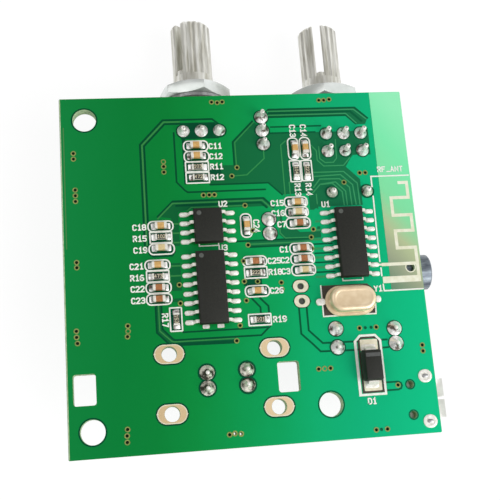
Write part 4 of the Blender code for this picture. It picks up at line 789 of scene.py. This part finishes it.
# Line lettering, on a grid three wide and six high
GLYPHS = {
    "0": (((0.8, 0), (0, 1.2), (0, 4.8), (0.8, 6), (2.2, 6), (3, 4.8), (3, 1.2), (2.2, 0), (0.8, 0)),),
    "1": (((0.6, 4.8), (1.7, 6), (1.7, 0)), ((0.6, 0), (2.8, 0))),
    "2": (((0, 5), (0.8, 6), (2.2, 6), (3, 5), (3, 3.9), (0, 0), (3, 0)),),
    "3": (((0, 5.2), (0.8, 6), (2.2, 6), (3, 5.2), (3, 3.9), (2.2, 3.1), (1.2, 3.1)),
          ((2.2, 3.1), (3, 2.3), (3, 0.9), (2.2, 0), (0.8, 0), (0, 0.8))),
    "4": (((2.2, 0), (2.2, 6), (0, 2), (3, 2)),),
    "5": (((3, 6), (0.2, 6), (0, 3.4), (2.2, 3.4), (3, 2.5), (3, 0.9), (2.2, 0), (0, 0.3)),),
    "6": (((2.8, 5.6), (1.2, 6), (0, 4.4), (0, 0.9), (0.8, 0), (2.2, 0), (3, 0.9), (3, 2.4), (2.2, 3.2),
           (0.2, 3)),),
    "7": (((0, 6), (3, 6), (1.2, 0)),),
    "8": (((0.8, 3.1), (0.1, 4), (0.1, 5.2), (0.8, 6), (2.2, 6), (2.9, 5.2), (2.9, 4), (2.2, 3.1),
           (0.8, 3.1)),
          ((0.8, 3.1), (0, 2.3), (0, 0.9), (0.8, 0), (2.2, 0), (3, 0.9), (3, 2.3), (2.2, 3.1))),
    "9": (((0.2, 0.4), (1.8, 0), (3, 1.6), (3, 5.1), (2.2, 6), (0.8, 6), (0, 5.1), (0, 3.6), (0.8, 2.8),
           (2.8, 3)),),
    "A": (((0, 0), (1.5, 6), (3, 0)), ((0.6, 2), (2.4, 2))),
    "C": (((3, 1), (2.2, 0), (0.8, 0), (0, 1), (0, 5), (0.8, 6), (2.2, 6), (3, 5)),),
    "D": (((0, 0), (0, 6), (1.9, 6), (3, 4.8), (3, 1.2), (1.9, 0), (0, 0)),),
    "F": (((0, 0), (0, 6), (3, 6)), ((0, 3.2), (2.3, 3.2))),
    "N": (((0, 0), (0, 6), (3, 0), (3, 6)),),
    "R": (((0, 0), (0, 6), (2.2, 6), (3, 5.2), (3, 3.9), (2.2, 3.1), (0, 3.1)), ((1.4, 3.1), (3, 0))),
    "T": (((1.5, 0), (1.5, 6)), ((0, 6), (3, 6))),
    "U": (((0, 6), (0, 1), (0.8, 0), (2.2, 0), (3, 1), (3, 6)),),
    "Y": (((0, 6), (1.5, 3), (3, 6)), ((1.5, 3), (1.5, 0))),
    "_": (((0, 0), (3.4, 0)),),
}
LETTER_PITCH = 4.5
LETTER_HEIGHT = 0.7
LETTER_SPREAD = 1.2
LETTER_STROKE = 0.18
LABELS = (
    ("C11", -3.95, 16.4, 0), ("C12", -3.95, 14.9, 0), ("R11", -3.95, 13.4, 0), ("R12", -3.95, 11.85, 0),
    ("C13", 7.6, 19.5, -90), ("C14", 9.15, 19.5, -90), ("R13", 7.6, 10.8, -90), ("R14", 9.15, 10.8, -90),
    ("C15", 4.05, 7.8, 0), ("C16", 4.05, 6.35, 0), ("C7", 4.75, 4.75, 0), ("C1", 4.75, 1.2, 0),
    ("C2", 4.75, -0.3, 0), ("C3", 4.75, -1.85, 0), ("C18", -14.95, 5.15, 0), ("R15", -14.95, 3.6, 0),
    ("C19", -14.95, 2, 0), ("C21", -15.55, -0.2, 0), ("R16", -15.55, -1.75, 0), ("C22", -15.55, -3.25, 0),
    ("C23", -15.55, -4.8, 0), ("R17", -11.65, -6.4, -90), ("C24", 1.4, 5.85, -90), ("C25", 2.95, -0.3, 0),
    ("R18", 2.95, -1.85, 0), ("C26", 2.95, -4.4, 0), ("R19", 3.05, -8.3, 0), ("D1", 14.75, -19.9, 0),
    ("Y1", 17.25, -4.9, 0), ("U1", 11.15, 7.35, 0), ("U2", -3.15, 8, 0), ("U3", -3.55, 1.85, 0),
)


def write(sheet, text, x, y, turn, height, stroke, slot=0):
    """Letters from x, y on, which run down where turn is -90."""
    unit = height / 6
    heading = math.radians(turn)
    for number, letter in enumerate(text):
        for path in GLYPHS[letter]:
            points = []
            for u, v in path:
                along = (u + number * LETTER_PITCH) * unit * LETTER_SPREAD
                rise = v * unit
                points.append((
                    x + along * math.cos(heading) - rise * math.sin(heading),
                    y + along * math.sin(heading) + rise * math.cos(heading)))
            sheet.line(points, stroke, slot)


# Outlines printed round the small parts: centre, length and width. Those of the capacitors have round ends.
CAPACITOR_FRAMES = (
    (-5.82, 16.82, 3.35, 1.5), (-5.8, 15.3, 3.4, 1.5), (7.83, 16, 1.45, 3.2), (9.52, 16, 1.45, 3.25),
    (7.5, 8.2, 3.2, 1.45), (7.5, 6.75, 3.2, 1.45), (7.57, 5.18, 3.35, 1.5), (7.72, 1.6, 3.25, 1.45),
    (7.72, 0.1, 3.25, 1.45), (7.72, -1.42, 3.25, 1.5), (-11.27, 5.55, 3.35, 1.4), (-11.27, 2.4, 3.35, 1.45),
    (-11.95, 0.2, 3.3, 1.4), (-11.95, -2.85, 3.3, 1.45), (-11.95, -4.4, 3.3, 1.45), (0.35, 5.15, 1.45, 3.3),
    (1.12, 0.1, 3.25, 1.4), (1.17, -4, 3.25, 1.5),
)
RESISTOR_FRAMES = (
    (-5.82, 13.82, 3.15, 1.4), (-5.82, 12.22, 3.15, 1.5), (7.83, 12.68, 1.45, 3.05),
    (9.48, 12.72, 1.45, 2.95), (-11.3, 4, 2.9, 1.5), (-11.97, -1.3, 2.95, 1.45), (-9.9, -7.2, 1.55, 3.1),
    (1.17, -1.45, 3.05, 1.5), (1.2, -7.87, 3, 1.5),
)
FRAME_LINE = 0.19
DIODE_LINE = 0.3
DIODE_INSIDE_LINE = 0.26
DIODE_BAR = ((13.88, -11.7), (13.88, -18.6))
CAN_LINE = 0.18
BRACKET_LINE = 0.16
BORDER_LINE = 0.2
DIODE_FRAME = (
    (13.75, -18.7), (17.25, -18.7), (17.25, -11.6), (16.6, -10.85), (14.5, -10.85), (13.75, -11.6),
)
DIODE_INSIDE = (
    (14.25, -18.35), (17, -18.35), (17, -11.75), (16.42, -11.15), (14.68, -11.15), (14.25, -11.6),
)
# The crystal can's painted shadow on the board, inside its outline.
CRYSTAL_SHADOW = ((9.9, -3.75), (9.9, -7.9), (17.1, -7.9), (17.25, -4.6), (16.3, -3.75))
CRYSTAL_FRAME = ((9.85, -3.75), (9.85, -7.95), (17.1, -7.95), (17.2, -6.5))
TINNED_TABS = ((-6.0, -8.4), (-4.05, -8.4))
TINNED_TAB = (0.9, 0.5)
DIODE_PADS = ((15.62, -12.15), (15.62, -17.45))
DIODE_PAD = (2.4, 1.55)
ANTENNA_LABEL = ("RF_ANT", 19.65, 12.15, 0, LETTER_HEIGHT, 0.15)


def build_printing():
    ground = Print(GROUND_LAYER)
    for x, y, length, width in CAPACITOR_FRAMES + RESISTOR_FRAMES:
        ground.patch(rounded(x, y, length - 0.1, width - 0.1, 0.3), slot=1)
    ground.frame(DIODE_INSIDE, DIODE_INSIDE_LINE, 2)
    # The crystal can's painted shadow.
    ground.patch(CRYSTAL_SHADOW, slot=2)
    ground.piece("dark_ground_and_painted_can_shadow", [BARE_MASK, GAP_MASK, DARK_LINE_AND_CAN_SHADOW])
    ink = Print(INK_LAYER)
    for x, y, length, width in CAPACITOR_FRAMES:
        ink.frame(rounded(x, y, length, width, 0.6), FRAME_LINE)
    for x, y, length, width in RESISTOR_FRAMES:
        ink.frame(rounded(x, y, length, width, 0.04, 1), FRAME_LINE)
    ink.frame(DIODE_FRAME, DIODE_LINE)
    ink.line(DIODE_BAR, BORDER_LINE)
    ink.line(CRYSTAL_FRAME, CAN_LINE)
    for path in BRACKETS:
        ink.line(path, BRACKET_LINE)
    for path in ANTENNA_BORDER:
        ink.line(path, BORDER_LINE)
    for text, x, y, turn in LABELS:
        write(ink, text, x, y, turn, LETTER_HEIGHT, LETTER_STROKE)
    write(ink, *ANTENNA_LABEL)
    ink.piece("printed_outlines", [SILK])


def build_pads():
    pads = Print(PAD_LAYER)
    for x, y in OVAL_PADS:
        pads.patch(stadium(x, y, *OVAL_PAD), (circle(x, y, OVAL_HOLE_RADIUS + 0.015, 32),))
        pads.frame(stadium(x, y, OVAL_PAD[0] - 0.12, OVAL_PAD[1] - 0.12), 0.12, 1)
    for x, y in RING_PADS:
        pads.patch(stadium(x, y, *RING_PAD), (circle(x, y, RING_HOLE_RADIUS + HOLE_GAP, 16),), 1)
        pads.flat(circle(x, y, RING_HOLE_RADIUS, 16), -0.35, 3)
    for x, y in TINNED_TABS:
        pads.patch(rounded(x, y, *TINNED_TAB, 0.1), slot=2)
    for x, y in DIODE_PADS:
        pads.patch(rounded(x, y, *DIODE_PAD, 0.15), slot=1)
    pads.piece("bare_tinned_pads", [TINNED, TINNED_RIM, BRIGHT_TIN, CHIP_DOT])


# Small chip capacitors and resistors. A pair of values is the capacitors' one, then the resistors'.
TERMINAL_LENGTHS = (0.38, 0.25)
SOLDER_CLIMB = (0.6, 0.75)
PART_LIFT = 0.05
PAD_REACH = 0.5
FILLET_ROOT = 0.2
FILLET_FOOT = 0.032
FILLET_STEPS = ((1, 1.12, 0), (0.82, 1.04, 0.1), (0.4, 0.94, 0.3), (0.16, 0.86, 0.62), (0.05, 0.8, 0.9))
CODE_HEIGHT = 0.42
CODE_STROKE = 0.075
PALE_PARTS = (6, 10, 12)
BROWN_PARTS = (7, 8, 9, 14, 15, 17)
CODES = ("103", "472", "104", "223", "102", "473", "153", "222", "101")


def stepped(x, y, length, width, levels, corner, steps=2):
    """Levels of a block, each stepped in by an inset at its height."""
    return [(rounded(x, y, length - 2 * inset, width - 2 * inset, corner, steps), z) for inset, z in levels]


def cushion(x, y, length, width, low, high, corner, edge):
    """Levels of a block with round upright corners and round top and bottom edges."""
    inset = 0.3 * edge
    levels = ((edge, low), (inset, low + inset), (0, low + edge), (0, high - edge), (inset, high - inset),
              (edge, high))
    return stepped(x, y, length, width, levels, corner, 3)


def laid(level, x, y, offset, long_side, wide):
    """The centre and sides of a block offset along its part, which lies along X where it is level."""
    return (x + offset, y, long_side, wide) if level else (x, y + offset, wide, long_side)


def fillet(shape, x, y, side, level, width, height, slot):
    """Solder that runs from a pad up one end of a part."""
    levels = []
    for out, share, rise in FILLET_STEPS:
        reach = PAD_REACH * out
        length, breadth = reach + FILLET_ROOT, width * share
        middle = (reach - FILLET_ROOT) / 2 * side
        z = FILLET_FOOT + (height - FILLET_FOOT) * rise
        levels.append((rounded(*laid(level, x, y, middle, length, breadth), 0.14, 3), z))
    shape.loft(levels, slot)


def build_small_part(node, number, resistor):
    low, high, x, y = box_mm(node)
    level = high.x - low.x > high.y - low.y
    length = max(high.x - low.x, high.y - low.y)
    width = min(high.x - low.x, high.y - low.y)
    terminal = TERMINAL_LENGTHS[resistor]
    part = Shape()

    def block(offset, long_side, wide, bottom, top, corner, edge, slot):
        part.loft(cushion(*laid(level, x, y, offset, long_side, wide), bottom, top, corner, edge), slot)

    top = high.z - 0.02
    block(0, length - 0.3, width - 0.06, PART_LIFT + 0.02, top - (0.06 if resistor else 0), 0.03, 0.03, 0)
    if resistor:
        block(0, length - 2 * terminal + 0.02, width - 0.1, top - 0.1, top + 0.01, 0.02, 0.02, 3)
    for side in (-1, 1):
        block(side * (length - terminal) / 2, terminal, width, PART_LIFT, high.z, 0.07, 0.07, 1)
        end = laid(level, x, y, side * length / 2, 0, 0)[:2]
        fillet(part, *end, side, level, width, high.z * SOLDER_CLIMB[resistor], 2)
    if resistor:
        digits = Print(top + 0.014)
        half = (2 * LETTER_PITCH + 3) * LETTER_SPREAD * CODE_HEIGHT / 12
        start = (x - half, y - CODE_HEIGHT / 2, 0) if level else (x - CODE_HEIGHT / 2, y + half, -90)
        write(digits, CODES[number - 1], *start, CODE_HEIGHT, CODE_STROKE)
        part.add(digits.points, digits.faces, 4)
        body = ALUMINA
    elif number in PALE_PARTS:
        body = PALE_CERAMIC
    else:
        body = BROWN_CERAMIC if number in BROWN_PARTS else TAN_CERAMIC
    materials = [body, TERMINAL, SOLDER, GLAZE_BLACK, PRINTED_CODE]
    name = node.replace("ceramic", "dressed").replace("chip", "dressed")
    part.piece(name, materials, 40, [node], "resistor_black" if resistor else "capacitor_tan")


# Chips with bent leads
LEAD_PITCH = 1.27
LEAD_WIDTH = 0.42
LEAD_THICKNESS = 0.2
PACKAGE_WIDTH = 3.9
PACKAGE_END = 0.5
PACKAGE_STANDOFF = 0.15
LEADS_PER_SIDE = {"radio_chip": 8, "preamp_chip": 4, "power_chip": 8}
LEAD_SOLDER = (
    (2.5, 3.8, 0.66, 0.033), (2.52, 3.78, 0.64, 0.1), (2.58, 3.6, 0.56, 0.2), (2.64, 3.35, 0.46, 0.28),
    (2.72, 3.1, 0.34, 0.32),
)
DIMPLE_RADIUS = 0.32
DIMPLE_PLACE = 0.75
INK_RISE = 0.004


def build_chip(node, per_side):
    low, high, x, y = box_mm(node)
    span = high.x - low.x
    length = (per_side - 1) * LEAD_PITCH + 2 * PACKAGE_END
    bottom, top = low.z + PACKAGE_STANDOFF, high.z
    middle = (bottom + top) / 2 - 0.05
    chip = Shape()
    levels = ((0.16, bottom), (0.12, bottom + 0.04), (0, middle - 0.04), (0, middle + 0.04),
              (0.1, top - 0.12), (0.14, top - 0.04), (0.22, top))
    chip.loft(stepped(x, y, PACKAGE_WIDTH, length, levels, 0.08))
    root = PACKAGE_WIDTH / 2
    path = (
        (root - 0.1, middle), (root + 0.22, middle), (root + 0.42, middle - 0.12), (root + 0.5, low.z + 0.26),
        (root + 0.62, low.z + 0.12), (span / 2, low.z + LEAD_THICKNESS / 2 + 0.01),
    )
    for side in (-1, 1):

        def place(u, v, z, side=side):
            return x + side * u, v, z

        for number in range(per_side):
            lead_y = y + (number - (per_side - 1) / 2) * LEAD_PITCH
            chip.strip(path, LEAD_THICKNESS * 0.8, lead_y - LEAD_WIDTH / 2, lead_y + LEAD_WIDTH / 2, place, 1)
            blob = []
            for near, far, width, z in LEAD_SOLDER:
                centre = x + side * (near + far) / 2
                blob.append((rounded(centre, lead_y, far - near, width, width / 2, 4), z))
            chip.loft(blob, 2)
    dimple = (DIMPLE_RADIUS, top - 0.05), (DIMPLE_RADIUS, top + INK_RISE)
    chip.turned(x - root + DIMPLE_PLACE, y + length / 2 - DIMPLE_PLACE, dimple, 20, 3)
    chip.piece("dressed_" + node, [MOULDED_BLACK, TERMINAL, BRIGHT_TIN, CHIP_DOT], 35, [node], "chip_black")


# Crystal can and rectifier
CRYSTAL_LENGTH = 7.0
CRYSTAL_RIM = 0.38
CRYSTAL_TABS = ((-1, 1.25), (1, 0.8))
CRYSTAL_TAB_WIDTH = 0.95
CRYSTAL_TAB_HEIGHTS = (0.034, 0.34)
DIODE_LENGTH = 4.1
DIODE_TAB = 0.7
DIODE_TAB_THICKNESS = 0.17
DIODE_SOLDER = ((0.85, 1.9, 0.034), (0.7, 1.8, 0.1), (0.5, 1.6, 0.3), (0.4, 1.46, 0.5))


def build_crystal():
    low, high, x, y = box_mm("crystal_can")
    width, rim, top = high.y - low.y, CRYSTAL_RIM, high.z
    crystal = Shape()
    outline = ((0.05, low.z), (0, low.z + 0.08), (0, 0.34), (0.05, 0.4), (rim - 0.08, 0.42), (rim, 0.5),
               (rim, top - 0.42), (rim + 0.06, top - 0.2), (rim + 0.2, top - 0.05), (rim + 0.42, top),
               (rim + 0.6, top), (rim + 0.7, top - 0.04), (rim + 0.8, top - 0.05))
    levels = []
    for inset, z in outline:
        corner = width / 2 - inset - 0.02
        levels += stepped(x, y, CRYSTAL_LENGTH, width, ((inset, z),), corner, 8)
    crystal.loft(levels)
    for side, reach in CRYSTAL_TABS:
        near, far = CRYSTAL_LENGTH / 2 - 0.1, CRYSTAL_LENGTH / 2 + reach
        centre = x + side * (near + far) / 2
        blob = cushion(centre, y, far - near, CRYSTAL_TAB_WIDTH, *CRYSTAL_TAB_HEIGHTS, 0.4, 0.14)
        crystal.loft(blob, 1)
    crystal.piece("dressed_crystal_can", [CRYSTAL_METAL, BRIGHT_TIN], 40, ["crystal_can"], "crystal_gold")


def build_rectifier():
    low, high, x, y = box_mm("rectifier_diode")
    width, end, top = high.x - low.x, DIODE_LENGTH / 2, high.z
    diode = Shape()
    levels = ((0.17, low.z + 0.1), (0.12, low.z + 0.14), (0, 1.02), (0, 1.1), (0.14, top - 0.12),
              (0.18, top - 0.04), (0.26, top))
    diode.loft(stepped(x, y, width, DIODE_LENGTH, levels, 0.1))
    path = ((end - 0.1, 1.1), (end + 0.16, 1.08), (end + 0.26, 0.95), (end + 0.28, 0.3), (end + 0.2, 0.15),
            (end - 0.5, 0.13))
    for side in (-1, 1):

        def place(u, v, z, side=side):
            return v, y + side * u, z

        diode.strip(path, DIODE_TAB_THICKNESS, x - DIODE_TAB, x + DIODE_TAB, place, 1)
        levels = []
        for reach, wide, z in DIODE_SOLDER:
            middle = y + side * (end - 0.3 + (reach + 0.3) / 2)
            levels.append((rounded(x, middle, wide, reach + 0.3, 0.2, 3), z))
        diode.loft(levels, 2)
    diode.flat(rounded(x, y + end - 0.75, width - 0.56, 0.5, 0.03, 1), top + INK_RISE, 3)
    materials = [MOULDED_BLACK, TERMINAL, BRIGHT_TIN, BAND_INK]
    diode.piece("dressed_rectifier", materials, 35, ["rectifier_diode"], "chip_black")


# The larger parts keep the frame's shapes: each is copied, its edges are eased and its metal told apart
HEADERS = ("line_header", "speaker_header_left", "speaker_header_right")
ELECTROLYTICS = ("electrolytic_small_1", "electrolytic_small_2", "electrolytic_large")
WAFERS = ("tone_pot_wafer", "volume_wafer_front", "volume_wafer_rear", "volume_switch")
CONTROL_PARTS = (
    ("_pot_front", CASTING, 0.08, "pot_casting"), ("_pot_cover", PLATED_STEEL, 0.08, "pot_steel"),
    ("_nut", NICKEL, 0.08, "nut_nickel"), ("_washer", SPRING_STEEL, 0.03, "washer_steel"),
)
WAFER_TOP = -2.45
PEG_TOP = -0.9
JACK_PEG_TOP = -0.8
JACK_NOSE_START = 0.1
SEAL_DEPTH = 0.35
CAN_RIM = 0.2
STRIPE_TURN = 0.45
BEVEL_ANGLE = 38


def recast(node, materials, choose=None, edge=0.04, smooth=32, slot=None, body="board"):
    """A piece with a CAD node's own shape, with a material for each face and softened edges."""
    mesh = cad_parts[node].data.copy()
    mesh.materials.clear()
    for material in materials:
        mesh.materials.append(material)
    for polygon in mesh.polygons:
        place = (polygon.center - ORIGIN) / MM
        polygon.material_index = choose(place, polygon.normal) if choose else 0
    piece = settle(mesh, "dressed_" + node, smooth, [node], slot, body)
    if edge:
        bevel = piece.modifiers.new("eased_edges", "BEVEL")
        bevel.width = edge * MM
        bevel.segments = 2
        bevel.limit_method = "ANGLE"
        bevel.angle_limit = math.radians(BEVEL_ANGLE)
        bevel.use_clamp_overlap = True
        bevel.harden_normals = False
    return piece


def above(height):
    """Faces higher than height, such as pins that stand out of a body, take the second material."""
    return lambda place, normal: 1 if place.z > height else 0


def can_faces(node):
    low, high, x, y = box_mm(node)
    radius = (high.x - low.x) / 2

    def choose(place, normal):
        """Bare metal on the seal's side and on the can's end, and a stripe down the sleeve."""
        out = math.hypot(place.x - x, place.y - y)
        if place.z > -BOARD_THICKNESS - SEAL_DEPTH or normal.z < -0.9 and out < radius - CAN_RIM:
            return 1
        if abs(math.atan2(place.x - x, place.y - y)) < STRIPE_TURN and out > radius * 0.7:
            return 2
        return 0
    return choose


def jack_faces(place, normal):
    """The nose past the board's edge is paler than the body, and so is the peg's end."""
    return 1 if place.x > HALF_BOARD + JACK_NOSE_START or place.z > JACK_PEG_TOP else 0


def build_large_parts():
    for name in ("tone", "volume"):
        for part, material, edge, slot in CONTROL_PARTS:
            recast(name + part, [material], edge=edge, slot=slot)
        recast(name + "_shaft", [SHAFT_METAL], edge=0.03, slot="shaft_aluminium", body=name + "_shaft")
    for node in WAFERS:
        recast(node, [PHENOLIC, PIN_TIN], above(WAFER_TOP), slot="pot_wafer")
    recast("audio_jack", [SOCKET_BLACK, NOSE_GREY], jack_faces, edge=0.05, slot="jack_black")
    # The shell's peg ends, down in their holes, take the painted shade.
    recast("usb_shell", [SHELL_STEEL, PEG_SHADE_GREY], above(PEG_TOP), edge=0.03, slot="usb_steel")
    recast("usb_tongue", [SOCKET_BLACK], edge=0.03, slot="usb_black")
    for node in HEADERS:
        recast(node, [NYLON, PIN_TIN], above(-BOARD_THICKNESS), slot="header_white")
    for node in ELECTROLYTICS:
        recast(node, [SLEEVE, CAN_METAL, SLEEVE_STRIPE], can_faces(node), edge=0.05, slot="can_black")


# Print on the hidden face, round the parts that stand there
UNDER_LINE = 0.18
UNDER_MARGIN = 0.2
UNDER_EDGE = 0.3


def build_underside():
    ink = Print(BELOW_LAYER, side=-1)
    for node in ("audio_jack", "usb_shell", *HEADERS):
        low, high, x, y = box_mm(node)
        right, top = (min(reach, HALF_BOARD - UNDER_EDGE) for reach in (high.x, high.y))
        sides = grown((right - low.x, top - low.y), UNDER_MARGIN)
        ink.frame(rounded((low.x + right) / 2, (low.y + top) / 2, *sides, 0.05, 1), UNDER_LINE)
    for node in ELECTROLYTICS:
        low, high, x, y = box_mm(node)
        ink.frame(circle(x, y, (high.x - low.x) / 2 + 0.25, 40), UNDER_LINE)
    ink.piece("printed_outlines_below", [SILK])


# Camera, light and floor
CAMERA_PLACE = (-14.479, -24.307, 109.393)
CAMERA_RIGHT = Vector((0.99038, -0.07601, 0.11560))
CAMERA_UP = Vector((0.04747, 0.97152, 0.23214))
CAMERA_FORWARD = Vector((0.12996, 0.22442, -0.96579))
LENS = 60.303
SENSOR = 36.0
SHIFT = (0.0047, 0.0087)
CLIP = (0.005, 20.0)
WHITE = (1.0, 1.0, 1.0, 1.0)
WORLD_LIGHT = 0.5
BRIGHT_SIDE = Vector((0.62, -0.52, -0.2))
STUDIO_STOPS = ((0.2, (0.3, 0.29, 0.28, 1.0)), (0.6, WHITE))
PAPER = (0.8, 0.8, 0.8, 1.0)
SHADOW_PAPER = (0.2, 0.2, 0.2, 1.0)
FLOOR_GLOW = 0.86
FLOOR_REACH = 1.5
FLOOR_GAP = 0.00005
LAMPS = (
    ("key", (0.26, -0.20, 0.30), 1.1, 0.34),
    ("fill", (-0.24, 0.10, 0.36), 0.3, 0.3),
    ("low", (0.32, -0.30, 0.13), 0.3, 0.22),
)


def build_camera():
    data = bpy.data.cameras.new("camera")
    data.lens = LENS
    data.sensor_width = SENSOR
    data.shift_x, data.shift_y = SHIFT
    data.clip_start, data.clip_end = CLIP
    camera = put("camera", data)
    turn = Matrix((CAMERA_RIGHT, CAMERA_UP, -CAMERA_FORWARD)).transposed()
    camera.matrix_world = Matrix.Translation(at(*CAMERA_PLACE)) @ turn.to_4x4()
    bpy.context.scene.camera = camera


def background_rays(tree):
    """One for the rays that should see a plain white studio, and nought for those that carry light."""
    path = make(tree, "LightPath")
    either = make(tree, "Math", "MAXIMUM")
    any_of = make(tree, "Math", "MAXIMUM")
    join(path, "Is Camera Ray", either, 0)
    join(path, "Is Glossy Ray", either, 1)
    join(either, "Value", any_of, 0)
    join(path, "Is Transmission Ray", any_of, 1)
    return any_of


def build_world():
    """Even light all round. The camera sees white, and gloss a studio that is brightest low on the right."""
    world = bpy.data.worlds.new("studio")
    bpy.context.scene.world = world
    world.use_nodes = True
    tree = world.node_tree
    light = tree.nodes["Background"]
    light.inputs["Color"].default_value = WHITE
    light.inputs["Strength"].default_value = WORLD_LIGHT
    backdrop = make(tree, "Background")
    place = make(tree, "TexCoord")
    towards = make(tree, "VectorMath", "DOT_PRODUCT", BRIGHT_SIDE)
    scale = make(tree, "MapRange", From_Min=-1.0)
    ramp = make_ramp(tree, STUDIO_STOPS)
    path = make(tree, "LightPath")
    white = make(tree, "Mix")
    white.data_type = "RGBA"
    white.inputs["B"].default_value = WHITE
    mix = make(tree, "MixShader")
    join(place, "Generated", towards, 0)
    join(towards, "Value", scale, "Value")
    join(scale, "Result", ramp, "Fac")
    join(path, "Is Camera Ray", white, "Factor")
    join(ramp, "Color", white, "A")
    join(white, "Result", backdrop, "Color")
    join(background_rays(tree), "Value", mix, "Fac")
    join(light, "Background", mix, 1)
    join(backdrop, "Background", mix, 2)
    join(mix, "Shader", tree.nodes["World Output"], "Surface")


def build_floor():
    """Pale paper for the rays that carry light. The camera sees it white, with the object's shadow."""
    material, tree = start_material("studio_floor")
    tree.nodes.remove(tree.nodes["Principled BSDF"])
    paper = make(tree, "BsdfDiffuse", Color=PAPER)
    faint = make(tree, "BsdfDiffuse", Color=SHADOW_PAPER)
    glow = make(tree, "Emission", Strength=FLOOR_GLOW)
    seen = make(tree, "AddShader")
    mix = make(tree, "MixShader")
    join(faint, "BSDF", seen, 0)
    join(glow, "Emission", seen, 1)
    join(background_rays(tree), "Value", mix, "Fac")
    join(paper, "BSDF", mix, 1)
    join(seen, "Shader", mix, 2)
    join(mix, "Shader", tree.nodes["Material Output"], "Surface")
    z = cad_low.z - FLOOR_GAP
    sides = ((-1, -1), (1, -1), (1, 1), (-1, 1))
    mesh = bpy.data.meshes.new("floor")
    mesh.from_pydata([(x * FLOOR_REACH, y * FLOOR_REACH, z) for x, y in sides], [], [(0, 1, 2, 3)])
    mesh.materials.append(material)
    floor = put("floor", mesh)


def build_lamp(name, place, power, size):
    """A soft square lamp that looks at the board's centre."""
    data = bpy.data.lights.new(name, "AREA")
    data.energy = power
    data.size = size
    lamp = put(name, data)
    lamp.location = place
    lamp.rotation_mode = "QUATERNION"
    lamp.rotation_quaternion = (Vector(place) - ORIGIN).to_track_quat("Z", "Y")


build_plate()
build_copper()
build_antenna()
build_vias()
build_printing()
build_pads()
build_joints()
for number in range(1, 19):
    build_small_part(f"ceramic_capacitor_{number:02d}", number, False)
for number in range(1, 10):
    build_small_part(f"chip_resistor_{number:02d}", number, True)
for node, per_side in LEADS_PER_SIDE.items():
    build_chip(node, per_side)
build_crystal()
build_rectifier()
build_large_parts()
build_underside()
build_camera()
build_world()
build_floor()
for lamp in LAMPS:
    build_lamp(*lamp)

bpy.context.scene.view_settings.view_transform = "Standard"
